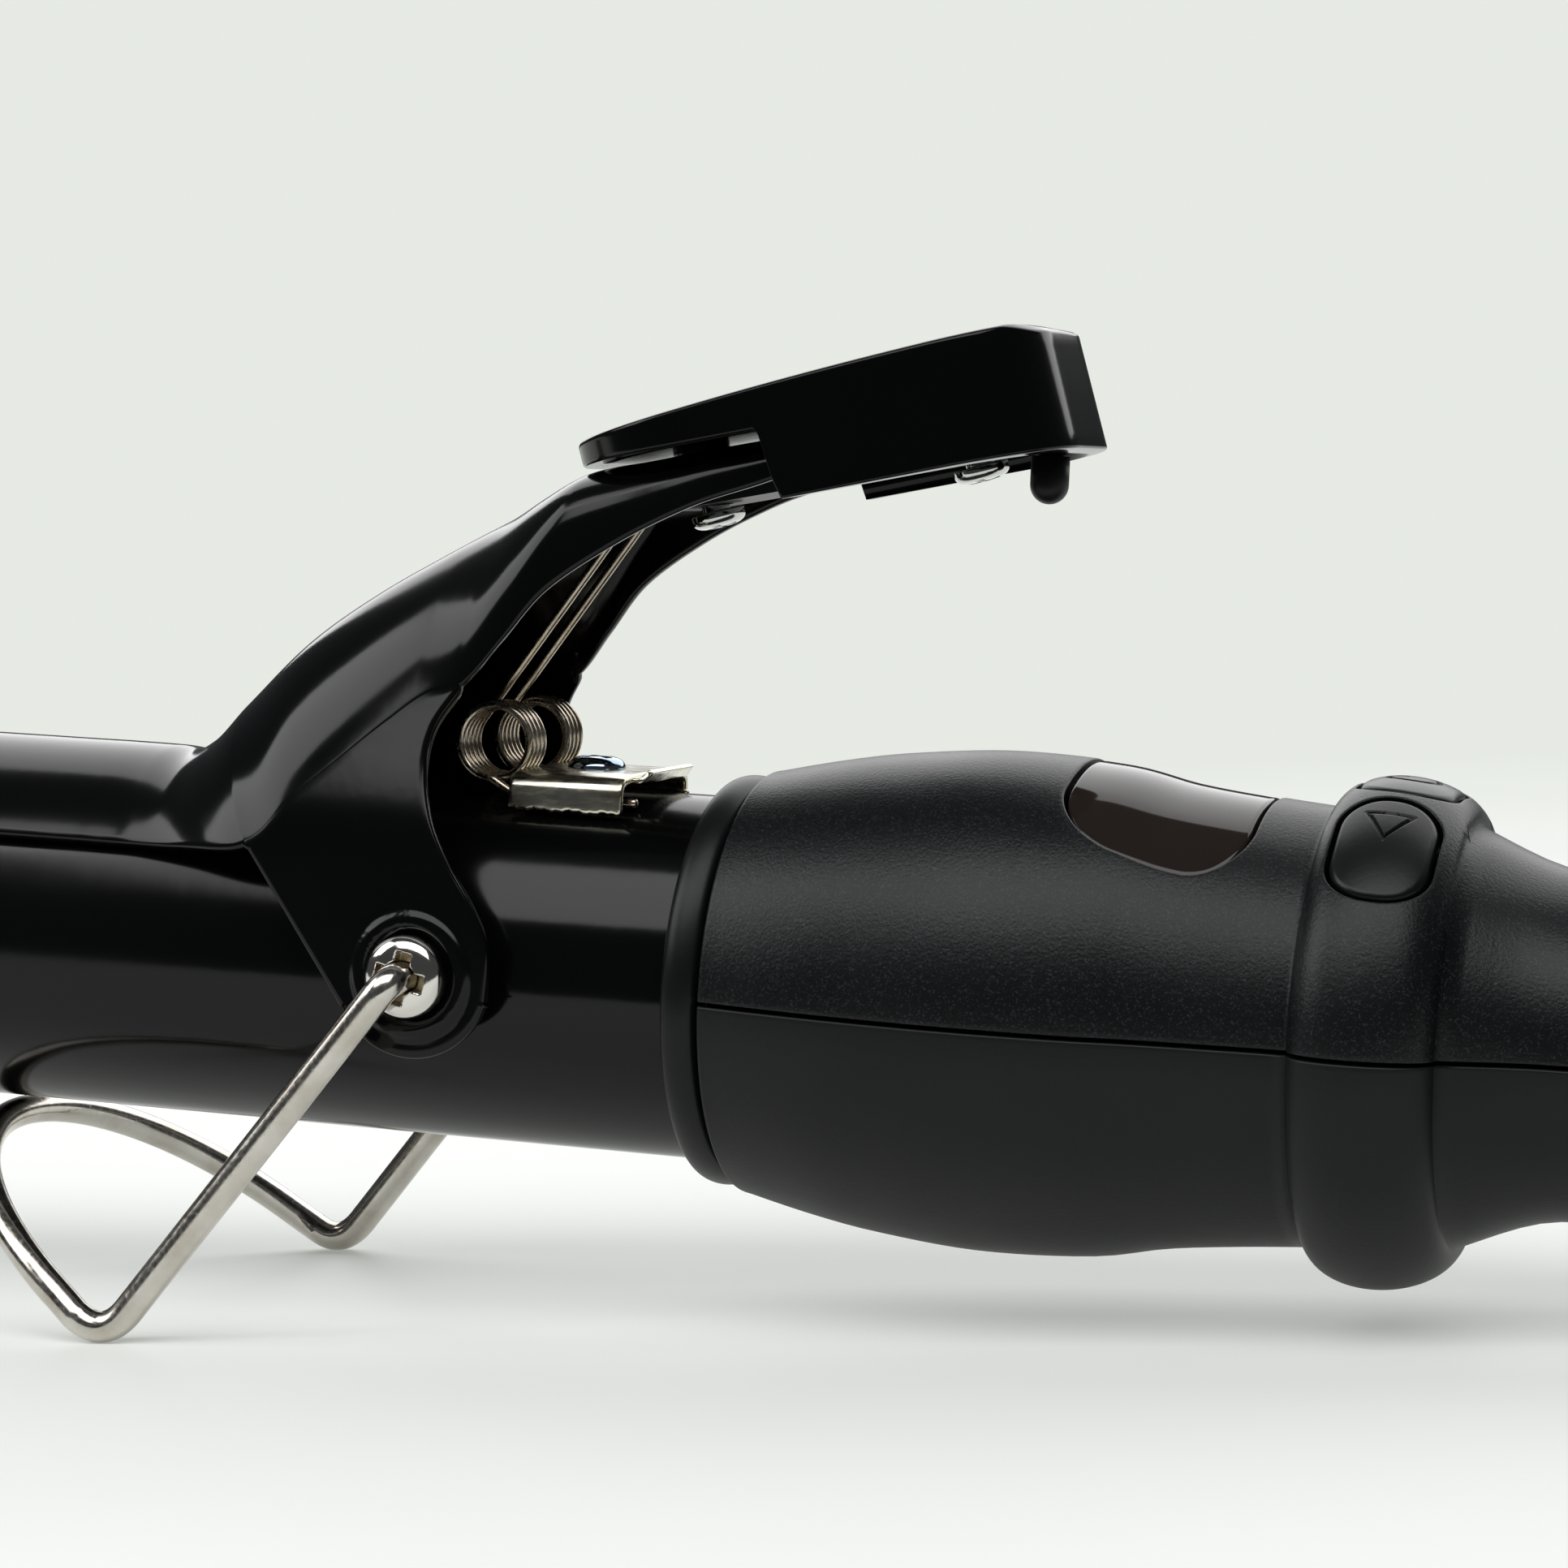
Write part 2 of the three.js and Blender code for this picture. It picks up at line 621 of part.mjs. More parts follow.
// One half, from the foot under the bracket round the coil and up to the lever: side is -1 or 1.
function springHalf(side) {
  const y0 = side * legOut;
  const coilBottom = springZ - springRadius;
  const points = [at(12.9, y0, legZ), at(4.6, y0, legZ), at(3.4, y0, legZ + 0.3), at(2.6, y0, coilBottom)];
  const sweep = 2 * Math.PI * springTurns + upperLegTurn;
  const steps = Math.round((sweep / (2 * Math.PI)) * 10);
  let y = y0;
  for (let i = 0; i <= steps; i++) {
    const turn = (sweep * i) / steps;
    y = side * (legOut - (springPitch * turn) / (2 * Math.PI));
    const angle = -Math.PI / 2 - turn;
    points.push(at(springX + springRadius * Math.cos(angle), y, springZ + springRadius * Math.sin(angle)));
  }
  const direction = at(-Math.cos(upperLegTurn), 0, Math.sin(upperLegTurn));
  const top = points[points.length - 1].clone().addScaledVector(direction, upperLegLength);
  points.push(top, top.clone().addScaledVector(direction, 0.7).setY(y * 0.8));
  return points;
}

function leverSpring() {
  return wire([...springHalf(-1), ...springHalf(1).reverse()], springWire, 6);
}

const bracketFront = 4;
const bracketFold = 12.6;
const bracketRear = 14.6;
const bracketUnder = barrelRadius + gap;
const bracketTop = bracketUnder + 0.7;

function springBracket() {
  const foldOut = legOut + 1.2;
  const foldIn = legOut + 0.62;
  const foldFoot = barrelRadius - 1.05;
  const half = [
    [4.9, bracketTop],
    [foldOut, bracketTop - 0.6],
    [foldOut, foldFoot],
    [foldIn, foldFoot],
    [foldIn, bracketTop - 1.05],
    [4.9, bracketUnder],
  ];
  const mirrored = half.map(([y, z]) => [-y, z]).reverse();
  const screwHole = rod(at(bracketScrewX, 0, barrelRadius), at(bracketScrewX, 0, bracketTop + 1), 1.6, 12);
  return alongX(polygon([...half, ...mirrored]), bracketFront, bracketFold)
    .add(box([bracketFold - 0.5, bracketRear], [-4.9, 4.9], [bracketUnder, bracketTop]))
    .add(box([bracketRear - 0.7, bracketRear], [-4.9, 4.9], [bracketTop - 0.2, bracketTop + 0.7]))
    .subtract(screwHole);
}

function bracketScrew() {
  const headFrom = bracketTop + gap;
  const head = 2.25;
  const end = barrelRadius - 3.5;
  const profile = [
    [end, 0],
    [end, 1.3],
    [headFrom, 1.3],
    [headFrom, head],
    [headFrom + 0.5, head],
    [headFrom + 1, head - 0.7],
    [headFrom + 1.2, 0],
  ];
  return turned(profile, at(bracketScrewX, 0, 0), at(0, 0, 1), 16).subtract(
    crossRecess(at(bracketScrewX, 0, headFrom + 1.2), at(0, 0, -1), 1.2, 0.6),
  );
}

// ---------- wire stand ----------
const crownX = -footReach - 19;
const crownZ = -barrelRadius - gap - wireRadius;

// From the screw's socket down a leg to the foot, then a half ellipse forwards and up to the barrel.
function standHalf(side) {
  const cornerOut = screwHeadTo + 1.8;
  const corner = at(0, side * cornerOut, pivotHeight);
  const foot = at(-footReach, side * footSpread, -footDrop);
  const down = foot.clone().sub(corner).normalize();
  const crown = at(crownX, 0, crownZ);
  const rise = crown.clone().setY(0).sub(at(foot.x, 0, foot.z));
  const afterFoot = foot.clone().addScaledVector(rise, 0.13);
  const points = [
    at(0, side * (socketFloor + gap), pivotHeight),
    ...bend(
      corner.clone().addScaledVector(at(0, -side, 0), 1.3),
      corner,
      corner.clone().addScaledVector(down, 1.6),
      4,
    ),
    ...bend(foot.clone().addScaledVector(down, -3.2), foot, afterFoot, 5),
  ];
  const steps = 12;
  for (let i = 2; i <= steps; i++) {
    const angle = (Math.PI / 2) * (i / steps);
    const bow = at(foot.x, side * footSpread * Math.cos(angle), foot.z);
    points.push(bow.addScaledVector(rise, Math.sin(angle)));
  }
  return points;
}

function wireStand() {
  const near = standHalf(-1);
  const far = standHalf(1).reverse().slice(1);
  return wire([...near, ...far], wireRadius, 8);
}

// ---------- handle ----------
// Radius over the barrel's, along the body in front of the collar and along the grip behind it.
const spline = (points) =>
  new THREE.SplineCurve(points.map(([x, r]) => new THREE.Vector2(x, barrelRadius + r)));
const bodyCurve = spline([
  [handleFront, 2.14],
  [handleFront + 0.125 * bodyLength, 3.35],
  [handleFront + 0.25 * bodyLength, 4.23],
  [handleFront + 0.43 * bodyLength, 4.85],
  [handleFront + 0.625 * bodyLength, 4.44],
  [handleFront + 0.75 * bodyLength, 3.36],
  [handleFront + 0.875 * bodyLength, 2.69],
  [collarFront, 2.19],
]);
const gripCurve = spline([
  [collarRear, 1.33],
  [collarRear + 0.067 * gripLength, -1.06],
  [collarRear + 0.135 * gripLength, -1.48],
  [collarRear + 0.26 * gripLength, -1.7],
  [collarRear + 0.485 * gripLength, -1.1],
  [collarRear + 0.686 * gripLength, 0.1],
  [collarRear + 0.821 * gripLength, 0.6],
  [collarRear + 0.911 * gripLength, 0.2],
  [collarRear + 0.972 * gripLength, -1.3],
  [handleRear, -2.9],
]);
const collarBulge = 3.05; // crest of the collar over the line between its ends

function collarRadius(x) {
  const along = (x - collarFront) / collarWidth;
  const foot = THREE.MathUtils.lerp(2.19, 1.33, along);
  return barrelRadius + foot + collarBulge * Math.sqrt(Math.max(1 - (2 * along - 1) ** 2, 0));
}

function handleProfile() {
  const points = bodyCurve.getPoints(9).map((p) => [p.x, p.y]);
  for (let i = 1; i < 8; i++) {
    const x = collarMiddle - (collarWidth / 2) * Math.cos((Math.PI * i) / 8);
    points.push([x, collarRadius(x)]);
  }
  return [...points, ...gripCurve.getPoints(11).map((p) => [p.x, p.y])];
}

const handleOutline = handleProfile();

// The handle's outer radius at x, and the inside of its wall.
function handleRadius(x) {
  const next = handleOutline.findIndex(([px]) => px > x);
  const i = THREE.MathUtils.clamp(next, 1, handleOutline.length - 1);
  const [[x0, r0], [x1, r1]] = [handleOutline[i - 1], handleOutline[i]];
  return THREE.MathUtils.lerp(r0, r1, THREE.MathUtils.clamp((x - x0) / (x1 - x0), 0, 1));
}

const handleInner = (x) => handleRadius(x) - handleWall;
const collarInner = barrelRadius + 2.4;
const cavityFront = flangeFront - gap;
const endWall = 6.3;
const cavityRear = handleRear - endWall;
const swivelNeck = barrelRadius - 6;
const swivelFlange = barrelRadius - 4.2;

function handleShellWhole() {
  const cavity = [];
  const step = 9;
  for (let x = cavityRear; x > collarRear + 1; x -= step * 2) cavity.push([x, handleInner(x)]);
  cavity.push([collarRear + 0.3, handleInner(collarRear + 0.3)], [collarMiddle + 3, collarInner]);
  cavity.push([collarMiddle - 3, collarInner], [collarFront - 0.3, handleInner(collarFront - 0.3)]);
  for (let x = collarFront - step; x > cavityFront + 2; x -= step) cavity.push([x, handleInner(x)]);
  const bore = barrelRadius + gap;
  const inside = [
    [handleRear, swivelNeck + gap],
    [cavityRear, swivelNeck + gap],
    ...cavity,
    [cavityFront, handleInner(cavityFront)],
    [cavityFront, bore],
    [handleFront, bore],
  ];
  return revolve([...handleOutline, ...inside]);
}

const screwPosts = [
  handleFront + 12.4,
  collarRear + 0.175 * gripLength,
  collarRear + 0.7 * gripLength,
];
const postRadius = 2.8;
const postStem = 1.2;
const headSeat = 2.6; // depth of the screw heads' pockets

const lensRear = collarFront - 4.7;
const lensFront = lensRear - 14.2;
const lensHalf = 12.4;
const lensThickness = 1.6;
const lensCorner = 4.8;
const lensOutline = (inset) =>
  roundedRectangle(
    [lensFront + inset, lensRear - inset],
    [-lensHalf + inset, lensHalf - inset],
    lensCorner - inset,
  );

const buttonInner = collarInner + 0.8; // high enough for neighbouring buttons to go down together
const buttonHalfLength = 3.8;
const buttonHalfWidth = 5.5;
const buttonOutline = (inset) =>
  roundedRectangle(
    [collarMiddle - buttonHalfLength + inset, collarMiddle + buttonHalfLength - inset],
    [-buttonHalfWidth + inset, buttonHalfWidth - inset],
    3.6 - inset,
  );
const round = (turn) => new THREE.Matrix4().makeRotationX(turn).elements;

const handleUnder = (x) => handleRadius(x) - headSeat;

function handleShell(side) {
  const far = barrelRadius * 2;
  const height = side > 0 ? [gap / 2, far] : [-far, -gap / 2];
  const half = box([handleFront - 5, handleRear + 5], [-far, far], height);
  const whole = handleShellWhole();
  let body = whole.intersect(half);
  for (const x of screwPosts) {
    const foot = side * gap / 2;
    const wall = side * (handleInner(x) + 0.6);
    body = body.add(rod(at(x, 0, foot), at(x, 0, wall), postRadius, 12));
    const stemTo = side > 0 ? Math.min(9, handleInner(x) - 1) : -far;
    body = body.subtract(rod(at(x, 0, -side), at(x, 0, stemTo), postStem + gap, 8));
    if (side < 0) body = body.subtract(rod(at(x, 0, -far), at(x, 0, -handleUnder(x)), 2.6, 12));
  }
  if (side < 0) return body;
  body = body.subtract(upZ(lensOutline(0), barrelRadius * 0.5, far, 4));
  for (const turn of [-buttonAngle, 0, buttonAngle]) {
    const opening = upZ(buttonOutline(0), barrelRadius * 0.6, far, 4);
    body = body.subtract(opening.transform(round(turn)));
  }
  return body;
}

function handleScrew(x) {
  const seat = -handleUnder(x) - gap;
  const head = 2.2;
  const tip = Math.min(7.5, handleInner(x) - 2);
  const face = seat - 1.6;
  const profile = [
    [face, 0],
    [face, head],
    [seat, head],
    [seat, postStem],
    [tip, postStem],
    [tip, 0],
  ];
  const screw = turned(profile, at(x, 0, 0), at(0, 0, 1), 14);
  return screw.subtract(crossRecess(at(x, 0, face), at(0, 0, 1), 1.3, 0.8));
}

// A layer under the handle's surface, between two depths.
function skinLayer(fromX, toX, outer, inner) {
  const steps = 6;
  const top = [];
  const under = [];
  for (let i = 0; i <= steps; i++) {
    const x = THREE.MathUtils.lerp(fromX, toX, i / steps);
    top.push([x, handleRadius(x) - outer]);
    under.unshift([x, handleRadius(x) - inner]);
  }
  return revolve([...top, ...under]);
}

function displayLens() {
  const layer = skinLayer(lensFront - 1, lensRear + 1, 0.15, 0.15 + lensThickness);
  return layer.intersect(upZ(lensOutline(gap), barrelRadius * 0.4, barrelRadius * 2, 4));
}

// ---------- buttons, their switches and the board ----------
const carrierTop = barrelRadius - 4;
const carrierWall = 1.8;
const switchTop = carrierTop + gap + 2.6;
const plungerTop = switchTop + 0.6;
const buttonTravel = 0.6;

function button(turn) {
  const ring = revolve([
    ...[-4, -2.4, -0.8, 0.8, 2.4, 4].map((x) => [collarMiddle + x, collarRadius(collarMiddle + x) - 0.1]),
    [collarMiddle + 4, buttonInner],
    [collarMiddle - 4, buttonInner],
  ]);
  const column = upZ(buttonOutline(gap), 0, barrelRadius * 2, 4).transform(round(turn));
  const stemFoot = plungerTop + buttonTravel + 0.2;
  const stem = rod(at(collarMiddle, 0, stemFoot), at(collarMiddle, 0, buttonInner + 0.5), 1.5, 12);
  return ring.intersect(column).add(stem.transform(round(turn)));
}

function tactSwitch(turn) {
  const body = box([collarMiddle - 3, collarMiddle + 3], [-2.8, 2.8], [carrierTop + gap, switchTop]);
  const plunger = rod(at(collarMiddle, 0, switchTop - 0.5), at(collarMiddle, 0, plungerTop), 1.5, 12);
  return body.add(plunger).transform(round(turn));
}

const carrierEnd = THREE.MathUtils.degToRad(52.5);
const carrierFoot = (carrierTop - carrierWall) * Math.cos(carrierEnd);
const boardTop = carrierFoot - gap;
const boardBottom = boardTop - boardThickness;

// Three flats that face the buttons, standing on the board.
function switchCarrier() {
  const flat = (distance, angle) => {
    const radius = distance / Math.cos(Math.abs(angle) > buttonAngle ? 0.27 : buttonAngle / 2);
    return [radius * Math.sin(angle), radius * Math.cos(angle)];
  };
  const turns = [-carrierEnd, -buttonAngle / 2, buttonAngle / 2, carrierEnd];
  const outer = turns.map((angle) => flat(carrierTop, angle));
  const inner = turns.map((angle) => flat(carrierTop - carrierWall, angle)).reverse();
  const arch = alongX(polygon([...outer, ...inner]), collarMiddle - 3, collarMiddle + 3);
  const room = box([collarMiddle - 9, collarMiddle + 9], [-40, 40], [carrierFoot, 40]);
  return arch.intersect(room);
}

const boardFront = screwPosts[0] + postRadius + 2.2;
const boardRear = collarRear + 1.4;
const boardHalf = Math.sqrt(handleInner(boardRear) ** 2 - boardTop ** 2) - 0.7;

function circuitBoard() {
  const outline = roundedRectangle([boardFront, boardRear], [-boardHalf, boardHalf], 2);
  return upZ(outline, boardBottom, boardTop, 3);
}

const displayHalf = 8.5;

function displayModule() {
  const front = lensFront + 1;
  const rear = lensRear - 1;
  const lensUnder = Math.sqrt((handleRadius(lensRear) - 0.15 - lensThickness) ** 2 - displayHalf ** 2);
  const top = lensUnder - 0.8;
  const foot = boardTop + gap;
  let body = box([front, rear], [-displayHalf, displayHalf], [top - 2.6, top]);
  for (const x of [front, rear - 1.5]) {
    for (const y of [-displayHalf, displayHalf - 1.5]) {
      body = body.add(box([x, x + 1.5], [y, y + 1.5], [foot, top - 1]));
    }
  }
  return body;
}

// Lying flat on the board, low enough to pass under the display.
function triac() {
  const tab = boardFront + 1.2;
  const foot = boardTop + gap;
  const half = 5;
  return box([tab, tab + 4], [-half, half], [foot, foot + 1.3])
    .add(box([tab + 3.5, tab + 9], [-half, half], [foot, foot + 3.4]));
}

const capacitor = () => {
  const radius = 2.3;
  const z = boardTop + gap + radius;
  return rod(at(lensRear + 3, -6, z), at(lensRear + 3, 6, z), radius, 14);
};

// ---------- wiring ----------
const leadUnderBoard = boardBottom - gap - leadRadius;

function heaterLead(side) {
  const y = side * leadSide;
  const route = new THREE.CatmullRomCurve3([
    at(spacerFront + gap, y, leadLow),
    at(-10, y, leadLow),
    at(handleFront - 10, y, leadLow + 0.5),
    at(flangeRear, y, leadLow + 2.6),
    at(boardFront - 1, y, leadUnderBoard - 0.8),
    at(boardFront + 5, y, leadUnderBoard),
  ]);
  return wire(route.getPoints(15), leadRadius, 6);
}

const blockFront = collarRear + 0.485 * gripLength;
const blockRear = blockFront + 14;

const terminalBlock = () => {
  const body = box([blockFront, blockRear], [-6.5, 6.5], [-3.5, 3.5]);
  const clampScrew = (x, y) => rod(at(x, y, 2.2), at(x, y, 5), 1.3, 10);
  return [blockFront + 4, blockRear - 4].reduce(
    (made, x) => made.subtract(clampScrew(x, 3)).subtract(clampScrew(x, -3)),
    body,
  );
};

function mainsLead(side) {
  const y = side * 4.6;
  const route = new THREE.CatmullRomCurve3([
    at(boardRear - 5, y, leadUnderBoard),
    at(boardRear + 1, y, leadUnderBoard - 0.3),
    at(boardRear + 14, y, 0.8),
    at(blockFront - gap, y, 0),
  ]);
  return wire(route.getPoints(9), leadRadius, 6);
}

// ---------- cord swivel ----------
const cordBore = 3.6;
const flangeTo = cavityRear - gap;
const flangeFrom = flangeTo - 3.2;

function swivelBush() {
  const collar = handleRear + gap;
  return revolve([
    [flangeFrom, cordBore],
    [flangeFrom, swivelFlange],
    [flangeTo, swivelFlange],
    [flangeTo, swivelNeck],
    [collar, swivelNeck],
    [collar, swivelNeck + 1.4],
    [collar + 3, swivelNeck + 1.1],
    [collar + 6.5, swivelNeck - 1],
    [collar + 8, swivelNeck - 2.4],
    [collar + 8, cordBore],
  ], 24);
}

const swivelContacts = () => {
  const rear = flangeFrom - gap;
  const front = rear - 6;
  const pinRadius = 1.4;
  const disc = revolve([
    [front, 2],
    [front, swivelFlange],
    [rear, swivelFlange],
    [rear, 2],
  ], 20);
  const pin = (y) => rod(at(front - 3, y, 0), at(front + 1, y, 0), pinRadius, 10);
  return disc.add(pin(5)).add(pin(-5));
};

// ---------- assembly ----------
const iron = new THREE.Group();
iron.add(
  piece("barrel_tube", barrelTube(), enamel),
  piece("tip_cap", tipCap(), satinPlastic),
  piece("heat_spreader_upper", heatSpreader(1), aluminium),
  piece("heat_spreader_lower", heatSpreader(-1), aluminium),
  piece("ptc_heater", ptcHeater(), ceramic),
  piece("heater_spacer", heaterSpacer(), ceramic),
  piece("thermal_fuse", sensor(fuseAt, fuseRadius, 10), nickel),
  piece("thermistor", sensor(thermistorAt, thermistorRadius, 6), ceramic),
  piece("barrel_holder", barrelHolder(), mattePlastic),
  piece("insulating_ring", insulatingRing(), satinPlastic),
  piece("pivot_spindle", pivotSpindle(), zinc),
  piece("pivot_screw_near", pivotScrew(-1), nickel),
  piece("pivot_screw_far", pivotScrew(1), nickel),
  piece("clamp", clamp(), enamel),
  piece("thumb_rest", thumbRest(), glossPlastic),
  piece("thumb_rest_plate", retainingPlate(), mattePlastic),
  piece("thumb_rest_screw_front", padScrew(padScrews[0]), zinc),
  piece("thumb_rest_screw_rear", padScrew(padScrews[1]), zinc),
  piece("bumper_pin", bumperPin(), blackRubber),
  piece("lever_rivet", leverRivet(), zinc),
  piece("lever_spring", leverSpring(), springSteel),
  piece("spring_bracket", springBracket(), zinc),
  piece("bracket_screw", bracketScrew(), blueZinc),
  piece("wire_stand", wireStand(), nickel),
  piece("handle_upper_shell", handleShell(1), satinPlastic),
  piece("handle_lower_shell", handleShell(-1), mattePlastic),
  piece("display_lens", displayLens(), smokedLens),
  piece("display_module", displayModule(), mattePlastic),
  piece("circuit_board", circuitBoard(), board),
  piece("triac", triac(), mattePlastic),
  piece("capacitor", capacitor(), glossPlastic),
  piece("switch_carrier", switchCarrier(), mattePlastic),
  piece("terminal_block", terminalBlock(), ceramic),
  piece("swivel_contacts", swivelContacts(), mattePlastic),
  piece("swivel_bush", swivelBush(), satinPlastic),
);
for (const [name, turn] of [["up", -buttonAngle], ["power", 0], ["down", buttonAngle]]) {
  iron.add(piece(`button_${name}`, button(turn), satinPlastic));
  iron.add(piece(`switch_${name}`, tactSwitch(turn), mattePlastic));
}
for (const [name, side] of [["near", -1], ["far", 1]]) {
  iron.add(piece(`heater_lead_${name}`, heaterLead(side), insulation));
  iron.add(piece(`mains_lead_${name}`, mainsLead(side), insulation));
}
screwPosts.forEach((x, i) => {
  iron.add(piece(`handle_screw_${i + 1}`, handleScrew(x), zinc));
});

// The iron stands on its feet and on the widest part of its grip, so it is tipped until both touch.
const standing = new THREE.Group();
standing.add(iron);

function lowestPoint(name) {
  standing.updateMatrixWorld(true);
  const mesh = iron.getObjectByName(name);
  const corners = mesh.geometry.attributes.position;
  const low = at(0, 0, Infinity);
  const corner = at(0, 0, 0);
  for (let i = 0; i < corners.count; i++) {
    corner.fromBufferAttribute(corners, i).applyMatrix4(mesh.matrixWorld);
    if (corner.z < low.z) low.copy(corner);
  }
  return low;
}

for (let i = 0; i < 4; i++) {
  const foot = lowestPoint("wire_stand");
  const grip = lowestPoint("handle_lower_shell");
  iron.rotation.y += Math.atan2(grip.z - foot.z, grip.x - foot.x);
}

// The origin is the middle of the footprint, at table height.
standing.updateMatrixWorld(true);
const bounds = new THREE.Box3().setFromObject(standing, true);
const middle = bounds.getCenter(at(0, 0, 0));
iron.position.set(-middle.x, -middle.y, -bounds.min.z);

export default standing;
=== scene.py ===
"""A curling iron's visible surfaces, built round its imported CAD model.

Shapes are worked out in millimetres in the barrel's own frame: x along the barrel from the clamp's
pivot towards the cord, y across it, z up. place() turns them into the model's frame in metres.
"""

import json
import math

import bmesh
import bpy
import numpy as np
from bpy.props import FloatProperty, FloatVectorProperty, IntProperty, PointerProperty
from mathutils import Matrix


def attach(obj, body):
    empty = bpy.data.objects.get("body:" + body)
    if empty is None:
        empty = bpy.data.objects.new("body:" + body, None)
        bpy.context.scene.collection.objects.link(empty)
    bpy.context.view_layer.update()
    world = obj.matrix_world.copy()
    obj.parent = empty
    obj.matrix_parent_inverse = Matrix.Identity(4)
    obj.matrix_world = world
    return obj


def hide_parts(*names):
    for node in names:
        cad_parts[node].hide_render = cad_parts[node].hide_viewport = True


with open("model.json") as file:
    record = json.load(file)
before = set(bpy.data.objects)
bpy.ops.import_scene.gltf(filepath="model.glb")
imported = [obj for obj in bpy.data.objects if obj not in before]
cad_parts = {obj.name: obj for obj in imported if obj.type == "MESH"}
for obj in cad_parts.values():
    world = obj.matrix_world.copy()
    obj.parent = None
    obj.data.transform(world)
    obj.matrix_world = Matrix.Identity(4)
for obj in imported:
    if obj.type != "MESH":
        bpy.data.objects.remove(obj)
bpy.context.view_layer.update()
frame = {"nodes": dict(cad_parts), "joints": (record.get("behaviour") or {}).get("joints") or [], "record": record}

bl_info = {
    "name": "Curling Iron",
    "version": (1, 0, 0),
    "blender": (4, 5, 0),
    "location": "View3D > Sidebar > Iron",
    "description": "Builds the surfaces of a curling iron round its CAD model",
    "category": "Add Mesh",
}

# ---------- the barrel's frame ----------
MM = 0.001
JOINTS = {joint["name"]: joint for joint in frame["joints"]}
ALONG = np.array(JOINTS["cord_swivel"]["axis"], float)
ACROSS = np.array((0.0, 1.0, 0.0))
UP = np.cross(ALONG, ACROSS)
AXES = np.stack([ALONG, ACROSS, UP])
PIVOT_HEIGHT = 0.45  # pivot above the barrel's axis
ORIGIN = np.array(JOINTS["clamp_lever"]["pos_m"], float) - PIVOT_HEIGHT * MM * UP


def place(points):
    """Millimetres in the barrel's frame to metres in the model's: the origin plus each part on its axis."""
    return ORIGIN + MM * (np.asarray(points, float) @ AXES)


def span(node):
    """A CAD node's lowest and highest coordinates in the barrel's frame, in millimetres."""
    mesh = frame["nodes"][node].data
    corners = np.empty(len(mesh.vertices) * 3, np.float32)
    mesh.vertices.foreach_get("co", corners)
    local = (corners.reshape(-1, 3) - ORIGIN) @ AXES.T / MM
    return local.min(0), local.max(0)


# ---------- sizes ----------
GAP = 0.3
BARREL_FRONT, BARREL_REAR = span("barrel_tube")[0][0], span("barrel_tube")[1][0]
BARREL_RADIUS = float(span("barrel_tube")[1][1])
BARREL_WALL = 1.2
TIP_FRONT = span("tip_cap")[0][0]
SHEET = 1.0
FOLD_FADE = (-2.0, 9.0)  # ridge stations between which the fold along the sheet's sides fades out
CLAMP_RADIUS = BARREL_RADIUS + GAP + SHEET
CLAMP_HALF_ANGLE = math.radians(56.3)
EAR_OUTER = BARREL_RADIUS + 2.6
EAR_LOBE = 6.3  # radius of the ear's round end
HANDLE_FRONT, HANDLE_REAR = span("handle_upper_shell")[0][0], span("handle_upper_shell")[1][0]
BODY_LENGTH = 43.9
COLLAR_WIDTH = 10.3
COLLAR_FRONT = HANDLE_FRONT + BODY_LENGTH
COLLAR_REAR = COLLAR_FRONT + COLLAR_WIDTH
COLLAR_MIDDLE = (COLLAR_FRONT + COLLAR_REAR) / 2
GRIP_LENGTH = HANDLE_REAR - COLLAR_REAR
HANDLE_WALL = 2.0
PAD_TILT = math.radians(17.3)
PAD_LENGTH = 37.3
PAD_HALF_WIDTH = 11.5
PAD_FRONT = 8  # x of the thumb rest's tip
PAD_RISE = 24.4  # height of its top line there over the clamp
PAD_NOSE = 0.8  # how far the moulding reaches past the clamp's tip line
NOTCH_ALONG = 15.85
PLATE_START = 5  # the plate under the thumb rest: where it starts, its faces' heights there and its slope
PLATE_TOP, PLATE_UNDER = -5.75, -6.3
PLATE_SLOPE = 0.098
BUTTON_TURN = math.radians(37.0)


# ---------- curves and grids ----------
def unit(vectors):
    """Vectors divided by their lengths."""
    return vectors / np.maximum(np.linalg.norm(vectors, axis=-1, keepdims=True), 1e-12)


def smooth(low, high, value):
    """0 below low, 1 above high, and 3t^2 - 2t^3 between them."""
    t = np.clip((value - low) / (high - low), 0, 1)
    return t * t * (3 - 2 * t)


def through(points, count):
    """Catmull-Rom: a cubic whose slope at each point is half the step between the point's neighbours."""
    points = np.asarray(points, float)
    along = np.linspace(0, len(points) - 1, count)
    start = np.minimum(along.astype(int), len(points) - 2)
    t = (along - start)[:, None]
    p0, p1, p2, p3 = (points[np.clip(start + k, 0, len(points) - 1)] for k in (-1, 0, 1, 2))
    return p1 + 0.5 * t * (p2 - p0 + t * (2 * p0 - 5 * p1 + 4 * p2 - p3 + t * (3 * (p1 - p2) + p3 - p0)))


def hermite(knots, values, at):
    """Cubic through values at knots, with each knot's slope taken from its two neighbours."""
    slopes = np.gradient(values, knots, axis=0)
    i = np.clip(np.searchsorted(knots, at) - 1, 0, len(knots) - 2)
    width = (knots[i + 1] - knots[i])[:, None]
    t = ((at - knots[i]) / (knots[i + 1] - knots[i]))[:, None]
    start = (1 + 2 * t) * (1 - t) ** 2 * values[i] + t * (1 - t) ** 2 * width * slopes[i]
    end = t**2 * (3 - 2 * t) * values[i + 1] + t**2 * (t - 1) * width * slopes[i + 1]
    return start + end


